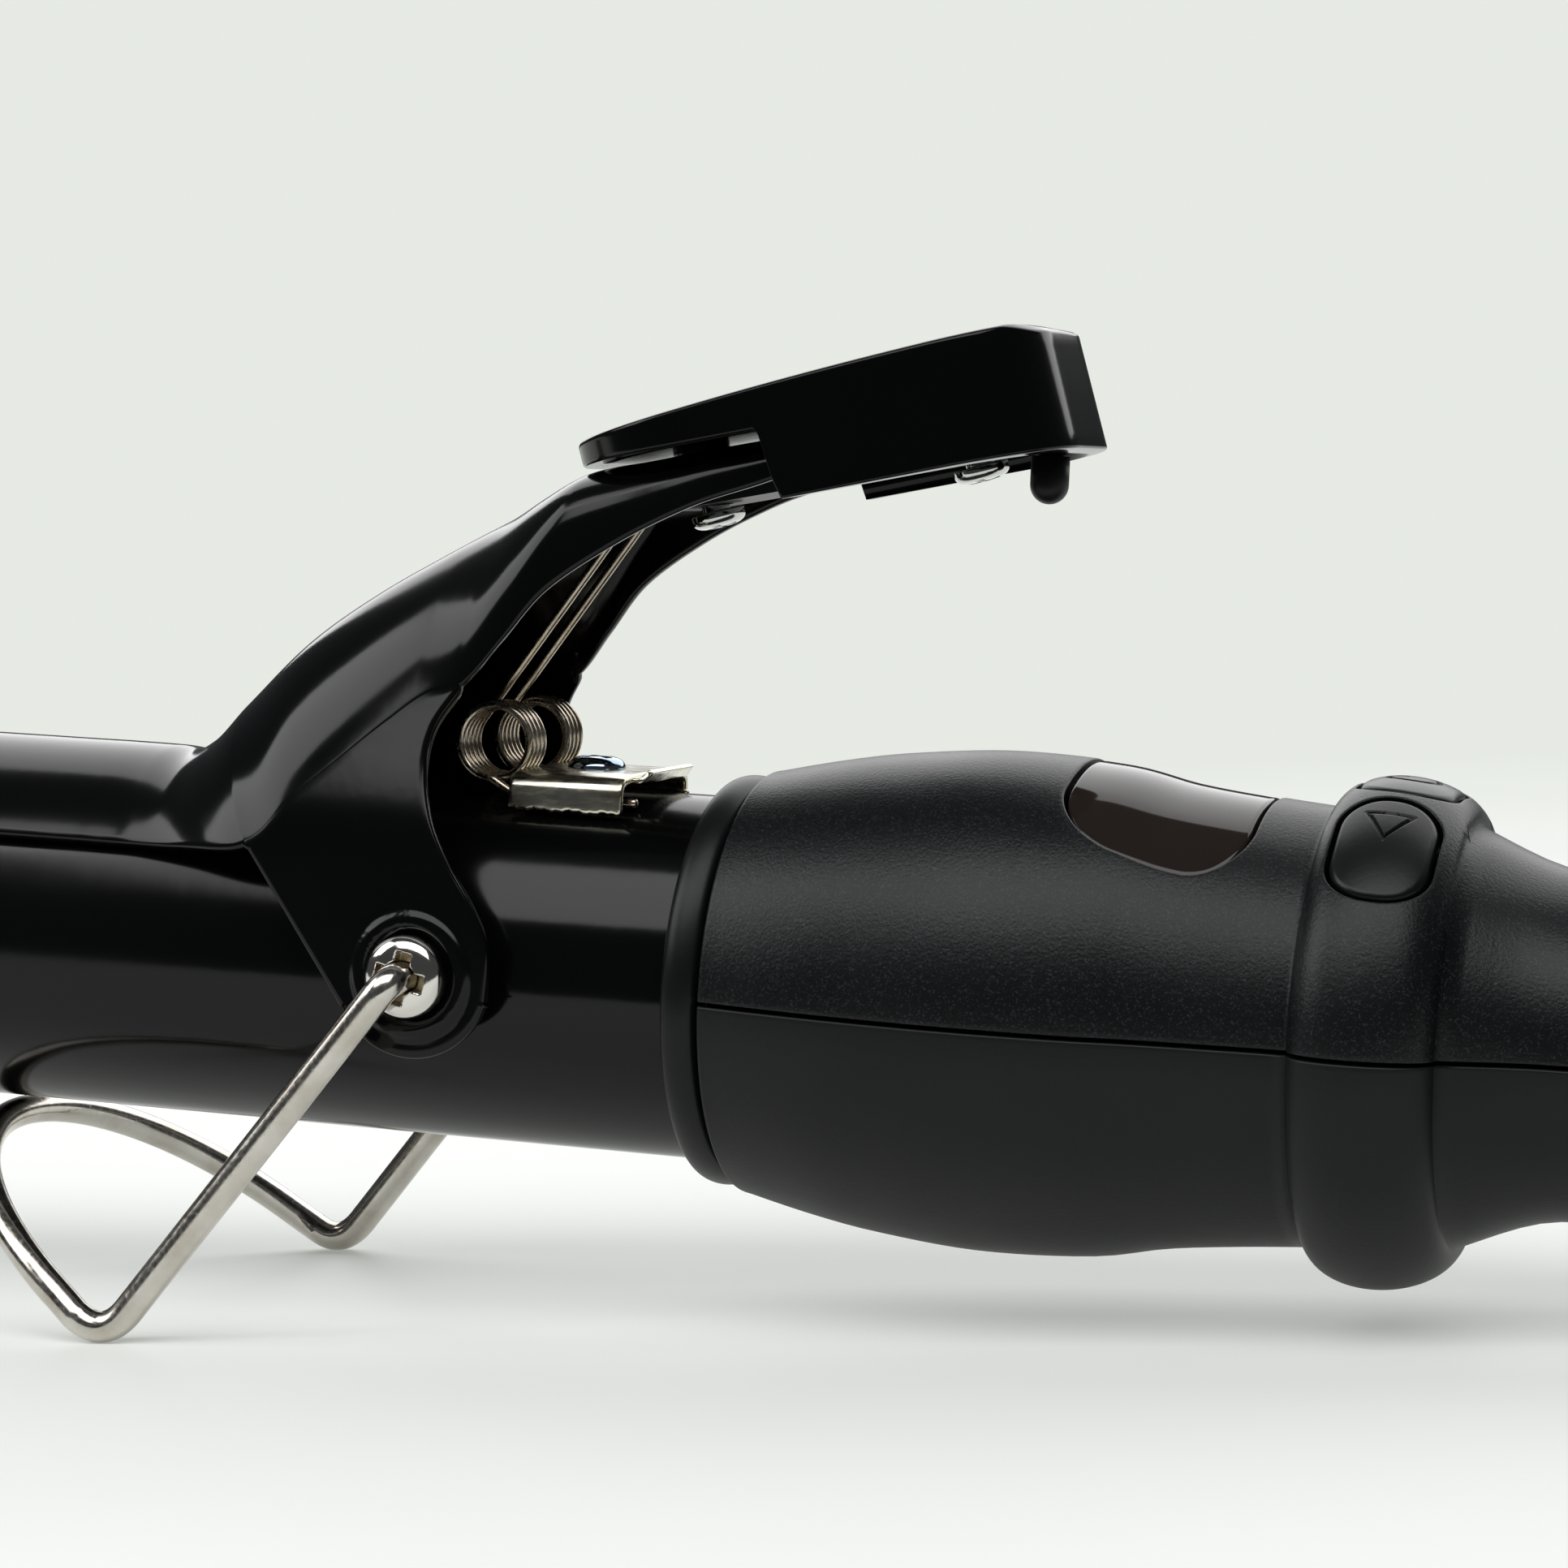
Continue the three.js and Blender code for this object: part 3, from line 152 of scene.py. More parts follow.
def resample(points, count, cut=0.0):
    """The same line with its points at equal steps of its length, less a length cut from its end."""
    points = np.asarray(points, float)
    length = np.r_[0, np.cumsum(np.linalg.norm(np.diff(points, axis=0), axis=1))]
    at = np.linspace(0, length[-1] - cut, count)
    return np.stack([np.interp(at, length, points[:, k]) for k in range(points.shape[1])], -1)


def rounded(corners, radius, steps=5):
    """An open outline with rounded corners: a quadratic curve from a point before each corner to one after,
    with the corner as its control, and one more point on each side to keep the flats flat."""
    corners = np.asarray(corners, float)
    before = np.vstack([corners[:1], corners[:-1]]) - corners
    after = np.vstack([corners[1:], corners[-1:]]) - corners
    room = np.minimum(np.linalg.norm(before, axis=1), np.linalg.norm(after, axis=1))
    reach = np.minimum(np.broadcast_to(radius, room.shape), 0.4 * room)[:, None]
    t = np.linspace(0, 1, steps + 1)[:, None, None]
    a, b = corners + unit(before) * reach, corners + unit(after) * reach
    curve = (1 - t) ** 2 * a + 2 * t * (1 - t) * corners + t**2 * b
    outer = [corners + 1.25 * unit(before) * reach, corners + 1.25 * unit(after) * reach]
    bends = np.concatenate([outer[0][None], curve, outer[1][None]])
    return bends.transpose(1, 0, 2).reshape(-1, corners.shape[1])


def grid(points, round_rows=False, round_columns=False):
    """Four-sided faces between neighbours of a grid of points, which may close on itself either way."""
    rows, columns = points.shape[:2]
    r, c = np.meshgrid(
        np.arange(rows if round_rows else rows - 1),
        np.arange(columns if round_columns else columns - 1),
        indexing="ij",
    )
    r1, c1 = (r + 1) % rows, (c + 1) % columns
    faces = np.stack([r * columns + c, r * columns + c1, r1 * columns + c1, r1 * columns + c], -1)
    return points.reshape(-1, 3), faces.reshape(-1, 4)


def join(*parts):
    """Several surfaces as one list of points and one of faces."""
    starts = np.cumsum([0] + [len(points) for points, _ in parts[:-1]])
    faces = [faces + start for (_, faces), start in zip(parts, starts)]
    return np.concatenate([points for points, _ in parts]), np.concatenate(faces)


def basis(direction):
    """Two unit vectors square to a direction and to each other."""
    direction = unit(np.asarray(direction, float))
    helper = np.array((0.0, 0.0, 1.0)) if abs(direction[2]) < 0.9 else np.array((1.0, 0.0, 0.0))
    side = unit(np.cross(helper, direction))
    return side, np.cross(direction, side)


def lathe(profile, start=(0, 0, 0), direction=(1, 0, 0), sides=160):
    """A surface of revolution: start + length x direction + radius x (cos a, sin a) across it."""
    profile = np.asarray(profile, float)
    side, other = basis(direction)
    angle = np.linspace(0, 2 * math.pi, sides, endpoint=False)[:, None]
    ring = np.cos(angle) * side + np.sin(angle) * other
    line = np.asarray(start, float) + profile[:, :1] * unit(np.asarray(direction, float))
    return grid(line[:, None] + profile[:, 1, None, None] * ring[None], round_columns=True)


def tube(path, radius, toward, sides=20):
    """A round wire: circles square to the path, and over each end rings that shrink as a half ball's do.
    toward is a direction that is never along the path, which sets where each circle starts."""
    path = np.asarray(path, float)
    tangent = unit(np.gradient(path, axis=0))
    toward = np.broadcast_to(np.asarray(toward, float), path.shape)
    cap = np.array((1, 0.97, 0.87, 0.7, 0.4))[:, None]
    front = path[0] - 0.6 * radius * cap * tangent[0]
    rear = path[-1] + 0.6 * radius * cap[::-1] * tangent[-1]
    centre = np.concatenate([front, path, rear])
    shrink = np.sqrt(1 - cap[:, 0] ** 2)
    radii = radius * np.r_[shrink, np.ones(len(path)), shrink[::-1]]
    ends = len(cap)
    tangent = np.concatenate([tangent[:1].repeat(ends, 0), tangent, tangent[-1:].repeat(ends, 0)])
    toward = np.concatenate([toward[:1].repeat(ends, 0), toward, toward[-1:].repeat(ends, 0)])
    side = unit(toward - (toward * tangent).sum(1, keepdims=True) * tangent)
    other = np.cross(tangent, side)
    angle = np.linspace(0, 2 * math.pi, sides, endpoint=False)[None, :, None]
    ring = np.cos(angle) * side[:, None] + np.sin(angle) * other[:, None]
    return grid(centre[:, None] + radii[:, None, None] * ring, round_columns=True)


def plate(skin, thickness, side=1.0, steps=4):
    """A skin with a thickness: both faces lie half of it from their middle, and where they meet, the edge
    follows a squared-off half circle, cos^0.6 across the edge and sin^0.6 outwards, square to the border."""
    down, right = np.gradient(skin, axis=0), np.gradient(skin, axis=1)
    normal = unit(np.cross(down, right)) * side
    half = thickness / 2
    middle = skin - half * normal
    turn = np.linspace(0, math.pi, 2 * steps + 1)[None, :, None]
    lift = np.sign(np.cos(turn)) * np.abs(np.cos(turn)) ** 0.6
    out = np.sin(turn) ** 0.6

    def outward(normals, border, toward):
        """Unit vectors square to the border, in the skin, that point the way of toward."""
        away = unit(np.cross(normals, border))
        return away * np.where((away * toward).sum() < 0, -1, 1)

    def edge(column, toward):
        """The rounded edge at one column, from the outer face to the inner."""
        away = outward(normal[:, column], down[:, column], toward)[:, None]
        return middle[:, column, None] + half * (lift * normal[:, column, None] + out * away)

    right_edge = edge(-1, right[:, -1])
    left_edge = edge(0, -right[:, 0])[:, ::-1]
    inner = (middle - half * normal)[:, ::-1]
    loop = np.concatenate([skin, right_edge, inner, left_edge], 1)
    count = right_edge.shape[1]

    def around(values):
        """Values along the skin's columns, carried on round the loop."""
        last, first = values[..., -1:, :], values[..., :1, :]
        turned = values[..., ::-1, :]
        return np.concatenate([values, last.repeat(count, -2), turned, first.repeat(count, -2)], -2)

    core = around(middle)
    rise = np.linspace(0, math.pi / 2, steps + 1)[1:, None, None]
    shrink, push = np.cos(rise) ** 0.6, np.sin(rise) ** 0.6
    shrink[-1] = 0

    def closing(row, toward):
        """Rows that draw the section in onto its middle line at one end."""
        away = half * around(outward(normal[row], right[row], toward))
        return core[row] + shrink * (loop[row] - core[row]) + push * away

    first = closing(0, -down[0])[::-1]
    last = closing(-1, down[-1])
    return grid(np.concatenate([first, loop, last]), round_columns=True)


def box_distance(x, y, half, radius):
    """Distance to a rounded rectangle's outline, negative inside it."""
    qx, qy = np.abs(x) - half[0] + radius, np.abs(y) - half[1] + radius
    outside = np.hypot(np.maximum(qx, 0), np.maximum(qy, 0))
    return outside + np.minimum(np.maximum(qx, qy), 0) - radius


def reach_outline(x, y, half, radius):
    """How far along each line from the middle to (x, y) the rounded rectangle lies, by halving 30 times."""
    low, high = np.zeros_like(x), np.full_like(x, 3.0)
    for _ in range(30):
        middle = (low + high) / 2
        inside = box_distance(middle * x, middle * y, half, radius) < 0
        low, high = np.where(inside, middle, low), np.where(inside, high, middle)
    return (low + high) / 2


# ---------- pieces ----------
def new_piece(name, surface, material, body, replaced, attributes=None):
    """A mesh in place: its doubled points merged, its faces turned outwards, riding on its body."""
    points, faces = surface
    mesh = bpy.data.meshes.new(name)
    mesh.from_pydata(place(points).tolist(), [], faces.tolist())
    for key, values in (attributes or {}).items():
        layer = mesh.attributes.new(key, "FLOAT", "POINT")
        layer.data.foreach_set("value", np.asarray(values, np.float32).ravel())
    shape = bmesh.new()
    shape.from_mesh(mesh)
    bmesh.ops.remove_doubles(shape, verts=shape.verts, dist=1e-6)
    bmesh.ops.dissolve_degenerate(shape, edges=shape.edges, dist=1e-7)
    bmesh.ops.recalc_face_normals(shape, faces=shape.faces)
    shape.to_mesh(mesh)
    shape.free()
    mesh.shade_smooth()
    mesh.materials.append(MATERIALS[material])
    piece = bpy.data.objects.new(name, mesh)
    bpy.context.scene.collection.objects.link(piece)
    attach(piece, body)
    if replaced:
        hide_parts(*replaced)
    return piece


# ---------- materials ----------
def finish(name, color, roughness, metallic=0.0, specular=0.5, coat=0.0):
    """A new material with its plain values on the shader's own sockets, and its node tree."""
    material = bpy.data.materials.new(name)
    material.use_nodes = True
    tree = material.node_tree
    shader = tree.nodes["Principled BSDF"]
    shader.inputs["Base Color"].default_value = (*color, 1)
    shader.inputs["Roughness"].default_value = roughness
    shader.inputs["Metallic"].default_value = metallic
    shader.inputs["Specular IOR Level"].default_value = specular
    shader.inputs["Coat Weight"].default_value = coat
    shader.inputs["Coat Roughness"].default_value = 0.06
    return material, tree, shader


def add_node(tree, kind, inputs, **settings):
    """A new shader node. Each input takes a plain value, or a link from another node's socket."""
    node = tree.nodes.new(kind)
    for key, value in settings.items():
        setattr(node, key, value)
    for key, value in inputs.items():
        if isinstance(value, bpy.types.NodeSocket):
            tree.links.new(value, node.inputs[key])
        else:
            node.inputs[key].default_value = value
    return node


def coordinates(tree, stretch=(1, 1, 1)):
    """Object coordinates, stretched by a Mapping node."""
    source = add_node(tree, "ShaderNodeTexCoord", {})
    mapping = add_node(tree, "ShaderNodeMapping", {"Scale": stretch, "Vector": source.outputs["Object"]})
    return mapping.outputs["Vector"]


def noise(tree, scale, detail=3.0, stretch=(1, 1, 1)):
    """Fractal noise of so many bumps to a metre."""
    inputs = {"Scale": scale, "Detail": detail, "Vector": coordinates(tree, stretch)}
    return add_node(tree, "ShaderNodeTexNoise", inputs).outputs["Fac"]


def cells(tree, scale):
    """A Voronoi pattern: the distance to each cell's middle, and a number from 0 to 1 for each cell."""
    pattern = add_node(tree, "ShaderNodeTexVoronoi", {"Scale": scale, "Vector": coordinates(tree)})
    pick = add_node(tree, "ShaderNodeSeparateColor", {"Color": pattern.outputs["Color"]})
    return pattern.outputs["Distance"], pick.outputs["Red"]


def remap(tree, value, low, high, to_low, to_high):
    """A value between low and high moved to between two others."""
    inputs = {"Value": value, "From Min": low, "From Max": high, "To Min": to_low, "To Max": to_high}
    return add_node(tree, "ShaderNodeMapRange", inputs).outputs["Result"]


def mix_color(tree, factor, *colors):
    """From the first colour to the second as the factor goes from 0 to 1."""
    first, second = (c if isinstance(c, bpy.types.NodeSocket) else (*c, 1) for c in colors)
    node = add_node(tree, "ShaderNodeMix", {"Factor": factor, 6: first, 7: second}, data_type="RGBA")
    return node.outputs[2]


def bump(tree, shader, height, distance, strength=1.0):
    """Height, in metres of relief, onto the shader's normal."""
    node = add_node(tree, "ShaderNodeBump", {"Strength": strength, "Distance": distance, "Height": height})
    tree.links.new(node.outputs["Normal"], shader.inputs["Normal"])


def dust(tree, base, speck, share):
    """Base colour with a few pale specks: the cells of a Voronoi pattern whose middles lie close."""
    distance, pick = cells(tree, 260)
    near = remap(tree, distance, 0.02, 0.035, 1, 0)
    few = remap(tree, pick, 1 - share, 1 - share + 0.01, 0, 1)
    both = add_node(tree, "ShaderNodeMath", {0: near, 1: few}, operation="MULTIPLY")
    return mix_color(tree, both.outputs[0], base, speck)


def enamel(name, color):
    """Glossy heat-proof enamel: orange peel, faint smears in its gloss and a few specks of dust."""
    material, tree, shader = finish(name, color, 0.12, specular=0.24)
    smear = noise(tree, 60, 4, (0.25, 1, 1))
    tree.links.new(remap(tree, smear, 0.35, 0.7, 0.09, 0.2), shader.inputs["Roughness"])
    tree.links.new(dust(tree, color, (0.25, 0.25, 0.24), 0.06), shader.inputs["Base Color"])
    bump(tree, shader, noise(tree, 420, 2), 0.00002, 0.35)
    return material


def moulded(name, color, roughness, grain, relief, sparkle=0.0, specular=0.22):
    """Moulded plastic: a fine grain in its surface and gloss, and painted glints, pale specks in its base colour,
    where the glint amount is above 0.
    """
    material, tree, shader = finish(name, color, roughness, specular=specular)
    cloud = noise(tree, 70, 3)
    gloss = remap(tree, cloud, 0.3, 0.7, roughness * 0.9, roughness * 1.12)
    tree.links.new(gloss, shader.inputs["Roughness"])
    base = mix_color(tree, remap(tree, cloud, 0.3, 0.7, 0, 1), color, [0.82 * c for c in color])
    # painted glints: a few random cells lightened in the base colour
    if sparkle:
        painted_sparkle_share = remap(tree, cells(tree, 9000)[1], 0.8, 1.0, 0, sparkle)
        base = mix_color(tree, painted_sparkle_share, base, (0.10, 0.11, 0.12))
    tree.links.new(base, shader.inputs["Base Color"])
    bump(tree, shader, noise(tree, grain, 3), relief, 0.5)
    return material


def plated(name, color, tarnish, roughness=0.16, stretch=(1, 1, 1)):
    """Plated metal: warm tarnish in clouds, drawing marks along the piece and a gloss that wanders."""
    material, tree, shader = finish(name, color, roughness, metallic=1.0)
    cloud = noise(tree, 240, 4)
    scratch = noise(tree, 2600, 3, stretch)
    base = mix_color(tree, remap(tree, cloud, 0.4, 0.72, 0, 1), color, tarnish)
    tree.links.new(base, shader.inputs["Base Color"])
    gloss = remap(tree, scratch, 0.3, 0.75, roughness * 0.7, roughness * 1.7)
    tree.links.new(gloss, shader.inputs["Roughness"])
    bump(tree, shader, scratch, 0.00001, 0.3)
    return material


def metal_with_painted_recess_shade(name, color, inside):
    """Bright plated metal with painted shade in its recess: the darker inside colour and a duller gloss where cut
    is 1.
    """
    material, tree, shader = finish(name, color, 0.12, metallic=1.0)
    cut = add_node(tree, "ShaderNodeAttribute", {}, attribute_name="cut")
    rough = noise(tree, 3000, 4)
    # painted shade: the recess, marked by the cut attribute, takes the darker inside colour
    tree.links.new(mix_color(tree, cut.outputs["Fac"], color, inside), shader.inputs["Base Color"])
    tree.links.new(remap(tree, cut.outputs["Fac"], 0, 1, 0.1, 0.42), shader.inputs["Roughness"])
    bump(tree, shader, rough, 0.00002, 0.25)
    return material


# ---------- settings ----------
def color_property(name, description, default):
    """A colour that a user may change."""
    return FloatVectorProperty(
        name=name, description=description, default=default, subtype="COLOR", size=3, min=0, max=1
    )


class IronFinishes(bpy.types.PropertyGroup):
    """Colours of the iron's finishes."""

    enamel: color_property("Enamel", "Barrel and clamp", (0.0014, 0.0016, 0.0016))
    gloss: color_property("Gloss plastic", "Thumb rest", (0.0014, 0.0016, 0.0016))
    # the upper shell's plastic colour; its material adds painted glints
    sparkle: color_property("Sparkling plastic", "Upper shell", (0.0030, 0.0036, 0.0040))
    matte: color_property("Matte plastic", "Lower shell", (0.0045, 0.0054, 0.0055))
    satin: color_property("Satin plastic", "Buttons, ring and swivel", (0.0032, 0.0039, 0.0041))
    lens: color_property("Smoked lens", "Display window", (0.016, 0.012, 0.010))
    nickel: color_property("Nickel plate", "Wire stand, pivot screws and bracket", (0.63, 0.60, 0.55))
    spring: color_property("Spring steel", "Lever spring", (0.47, 0.41, 0.33))
    # painted shade in the pivot screws' recesses: a darker, yellower colour than their plating
    painted_recess_shade: color_property("Bare brass", "Cut faces in the pivot screws", (0.42, 0.35, 0.23))
    zinc: color_property("Blue zinc", "Bracket screw", (0.30, 0.38, 0.47))


class IronShapes(bpy.types.PropertyGroup):
    """Sizes of details that the CAD model doesn't hold."""

    edge: FloatProperty(
        name="Edge radius", description="Rounding of moulded edges", default=0.35, min=0.05, max=1
    )
    parting: FloatProperty(
        name="Parting edge", description="Rounding along the line between the shells", default=0.16, min=0.05
    )
    boss: FloatProperty(
        name="Ear boss", description="Height of the pressed ring round each pivot screw", default=0.35, min=0
    )
    mark_depth: FloatProperty(
        name="Mark depth", description="Depth of the arrows in the buttons", default=0.22, min=0
    )
    wire: FloatProperty(name="Stand wire", description="Radius of the stand's wire", default=1.2, min=0.5)
    sides: IntProperty(name="Sides", description="Faces round the large round pieces", default=192, min=24)


class IronStage(bpy.types.PropertyGroup):
    """The floor, the lights and the camera."""

    floor: color_property("Floor", "Colour of the table", (0.80, 0.815, 0.80))
    # also the colour the table glows with, as painted light
    backdrop: color_property("Backdrop", "Colour behind the table", (0.795, 0.825, 0.775))
    room: FloatProperty(
        name="Room light", description="Brightness of the room in reflections", default=0.06, min=0
    )
    softbox: FloatProperty(
        name="Softbox", description="Power of the light above the camera", default=17.0, min=0, unit="POWER"
    )
    lens: FloatProperty(name="Lens", description="Focal length for a 36 mm sensor", default=99.17, min=10)
    yaw: FloatProperty(
        name="Yaw", description="Camera's turn from square on", default=math.radians(18.467), subtype="ANGLE"
    )
    pitch: FloatProperty(
        name="Pitch", description="Camera's look down", default=math.radians(4.46), subtype="ANGLE"
    )
    roll: FloatProperty(
        name="Roll", description="Camera's roll", default=math.radians(2.243), subtype="ANGLE"
    )


# ---------- barrel ----------
def barrel_surface(sides):
    """The barrel's tube, its profile a thin rectangle with eased corners."""
    inner = BARREL_RADIUS - BARREL_WALL
    profile = rounded(
        [
            (BARREL_FRONT, inner + 0.6),
            (BARREL_FRONT, BARREL_RADIUS),
            (BARREL_REAR, BARREL_RADIUS),
            (BARREL_REAR, inner),
            (BARREL_FRONT, inner),
            (BARREL_FRONT, inner + 0.6),
        ],
        0.18,
    )
    return lathe(profile, sides=sides)


def tip_surface(sides):
    """The cool tip: a rounded cap with a shallow grip groove, and its plug in the barrel."""
    groove = TIP_FRONT + 9
    plug = BARREL_RADIUS - 1.5
    profile = rounded(
        [
            (TIP_FRONT, 0),
            (TIP_FRONT, 6),
            (TIP_FRONT, BARREL_RADIUS),
            (groove - 2, BARREL_RADIUS),
            (groove - 1, BARREL_RADIUS - 0.5),
            (groove + 1, BARREL_RADIUS - 0.5),
            (groove + 2, BARREL_RADIUS),
            (BARREL_FRONT - GAP, BARREL_RADIUS),
            (BARREL_FRONT - GAP, plug),
            (BARREL_FRONT + 8, plug),
            (BARREL_FRONT + 8, 0),
        ],
        np.array((0, 0, 4, 0.6, 0.4, 0.4, 0.6, 0.35, 0.2, 0.4, 0)),
        7,
    )
    return lathe(profile, sides=sides)


def ring_surface(sides):
    """The insulating ring: over its bore, radius + crown x sin^0.6 of the angle across it."""
    front, rear = span("insulating_ring")[0][0], span("insulating_ring")[1][0]
    bore = BARREL_RADIUS + GAP
    crown = 1.45
    angle = np.linspace(math.pi, 0, 29)
    x = (front + rear) / 2 + (rear - front) / 2 * np.cos(angle)
    over = np.stack([x, bore + crown * np.maximum(np.sin(angle), 0) ** 0.6], -1)
    under = np.stack([np.linspace(rear, front, 5), np.full(5, bore)], -1)
    return lathe(np.vstack([over, under[1:]]), sides=sides)


# ---------- clamp ----------
def in_pad(u, w, y=0.0):
    """A point of the thumb rest's frame: u along its top line from the tip, w square to it."""
    u, w = np.asarray(u, float), np.asarray(w, float)
    x = PAD_FRONT + u * math.cos(PAD_TILT) - w * math.sin(PAD_TILT)
    z = CLAMP_RADIUS + PAD_RISE + u * math.sin(PAD_TILT) + w * math.cos(PAD_TILT)
    return np.stack(np.broadcast_arrays(x, np.asarray(y, float), z), -1)


def lip(u):
    """Thickness of the thumb rest over the lever: from 1 at its tip to 2.4 at the notch."""
    return 1 + 1.4 * np.minimum(u / NOTCH_ALONG, 1)


def under_pad(u, drop=0.0):
    """The lever's ridge under the thumb rest, as x and height."""
    point = in_pad(u, -lip(u) - GAP)
    return point[0], point[2] - drop


def lean(z):
    """Half width of the sheet's sides at a height: the ears' own below 11, and drawn in above it by 0.36 of
    the rise, with ln(1 + e^x) as the bend between."""
    return EAR_OUTER - 0.36 * (np.logaddexp(0, 1.3 * (z - 11.2)) / 1.3)


def clamp_rows():
    """Rows of the sheet: ridge x and height, fold x and height, half width there, and 0 for a round section
    to 1 for a squared one. The fold is where the crown meets the sides, and past the ears it's the rim."""
    spoon = CLAMP_RADIUS * math.sin(CLAMP_HALF_ANGLE)
    low = CLAMP_RADIUS * math.cos(CLAMP_HALF_ANGLE)
    top = CLAMP_RADIUS
    front = BARREL_FRONT + 3
    tongue = PAD_HALF_WIDTH - 2.2
    end = PAD_LENGTH - 3.2
    return np.array(
        [
            (front, top, front, low, spoon, 0),
            (-90, top, -90, low, spoon, 0),
            (-50, top, -49, low, spoon, 0),
            (-36, top, -34, low, spoon, 0),
            (-31.5, top, -29.5, low, spoon, 0),
            (-28, top - 0.05, -25.2, low, spoon + 0.2, 0.1),
            (-25.4, top - 0.15, -21.2, low + 0.1, spoon + 1.1, 0.4),
            (-23, top + 1.1, -17.2, 8.8, EAR_OUTER - 0.9, 0.8),
            (-19.9, top + 4.4, -13.8, 9.4, EAR_OUTER, 1),
            (-14.6, top + 9.7, -10.2, 13.0, lean(13.0), 1),
            (-9.4, top + 13.4, -6.7, 16.2, lean(16.2), 1),
            (-4.8, top + 16.1, -3.8, 18.8, lean(18.8), 1),
            (-0.8, top + 18.3, -1.0, 21.0, lean(21.0), 1),
            (1.8, top + 19.6, 1.2, 21.9, lean(21.9), 1),
            (5.2, top + 21.5, 4.1, 25.4, EAR_OUTER - 4.7, 1),
            (*under_pad(0.6), 7.3, 29.4, EAR_OUTER - 5.4, 1),
            (*under_pad(5), 12.5, 33.1, EAR_OUTER - 6, 1),
            (*under_pad(10), 18, 36, EAR_OUTER - 6.4, 1),
            (*under_pad(NOTCH_ALONG), *under_pad(NOTCH_ALONG, 3.6), tongue, 1),
            (*under_pad(end - 7), *under_pad(end - 7, 2), tongue, 1),
            (*under_pad(end), *under_pad(end, 2), tongue - 3, 1),
        ]
    )


EAR_FRONT_ROW = 8  # the rows between which the sheet's sides hang down into ears
EAR_REAR_ROW = 13
EAR_HOLLOW = ((-0.3, 19.2), (-0.6, 16.1), (0.4, 12.4), (2.3, 8.6), (4.3, 5.6), (5.6, 2.6))  # x and z


def ear_skin(fold, boss):
    """An ear below its fold: the four-sided patch between the fold, the straight front, the hollow rear and
    the lobe round the pivot. Each point is the two blends of opposite sides less the blend of the corners."""
    lobe = EAR_LOBE - SHEET / 2
    angle = np.radians(np.linspace(212, 342, len(fold)))
    low = np.stack([lobe * np.cos(angle), PIVOT_HEIGHT + lobe * np.sin(angle)], -1)
    count = 80
    front = resample([fold[0] + (0.35, 0.0), low[0]], count)
    rear = resample(through([fold[-1], *EAR_HOLLOW, low[-1]], 200), count)
    s = np.linspace(0, 1, len(fold))[:, None, None]
    t = np.linspace(0, 1, count)[None, :, None]
    sides = (1 - s) * front[None] + s * rear[None] + (1 - t) * fold[:, None] + t * low[:, None]
    corners = (1 - s) * (1 - t) * fold[0] + s * (1 - t) * fold[-1] + (1 - s) * t * low[0] + s * t * low[-1]
    x, z = np.moveaxis(sides - corners, -1, 0)
    reach = np.hypot(x, z - PIVOT_HEIGHT)
    y = lean(z) + boss * smooth(3.3, 3.7, reach) * (1 - smooth(4.4, 5.0, reach))
    return np.stack([x, y, z], -1)


def clamp_surface(boss):
    """The bent sheet. A row's section runs from its ridge to its fold as a superellipse that stops short of
    upright, or as an arc of the spoon, or between the two. The ears hang from the fold."""
    rows = clamp_rows()
    knots = np.r_[0, np.cumsum(np.hypot(*np.diff(rows[:, :2], axis=0).T))]
    ends = (0, knots[3], knots[EAR_FRONT_ROW], knots[EAR_REAR_ROW], knots[-1])
    at = np.unique(np.concatenate([np.linspace(*pair) for pair in zip(ends, ends[1:], (40, 90, 120, 110))]))
    ridge_x, ridge_z, fold_x, fold_z, half, boxy = np.moveaxis(hermite(knots, rows, at), -1, 0)[..., None]
    boxy = np.clip(boxy, 0, 1)
    eared = (at >= ends[2]) & (at <= ends[3])
    half = np.where(eared[:, None], lean(fold_z), half)

    part = np.linspace(0, 1, 90)[None]
    fade = smooth(*FOLD_FADE, ridge_x)
    close = math.radians(63) + math.radians(27) * fade
    power = 0.96 - 0.4 * fade
    angle = close * part
    nose = np.sqrt(1 - np.clip(1 - (ridge_x - rows[0, 0] + 0.3) / 9, 0, 1) ** 2)
    arc = CLAMP_HALF_ANGLE * part * (0.6 + 0.4 * nose)
    round_side = np.sin(arc) / math.sin(CLAMP_HALF_ANGLE)
    round_fall = (1 - np.cos(arc)) / (1 - math.cos(CLAMP_HALF_ANGLE))
    box_side = (np.sin(angle) / np.sin(close)) ** power
    box_fall = (1 - np.maximum(np.cos(angle), 0) ** power) / (1 - np.maximum(np.cos(close), 0) ** power)
    sideways = round_side + boxy * (box_side - round_side)
    fall = round_fall + boxy * (box_fall - round_fall)
    x, z = ridge_x + fall * (fold_x - ridge_x), ridge_z + fall * (fold_z - ridge_z)
    crown = np.stack([x, half * sideways, z], -1)

    trimmed = np.stack([resample(section, 90, SHEET / 2) for section in crown])
    mirror = trimmed[:, 1:][:, ::-1] * (1, -1, 1)
    sheet = plate(np.concatenate([mirror, trimmed], 1), SHEET, 1.0)
    fold = np.concatenate([fold_x, fold_z], 1)[eared]
    above = crown[eared][:, -9:-1]
    sunk = np.linspace(0.03, 0.005, 8)[None, :, None] * np.array((0.0, 1.0, 0.6))
    ear = np.concatenate([above - sunk, ear_skin(fold, boss)], 1)
    return join(sheet, plate(ear, SHEET, 1.0), plate(ear * (1, -1, 1), SHEET, -1.0))


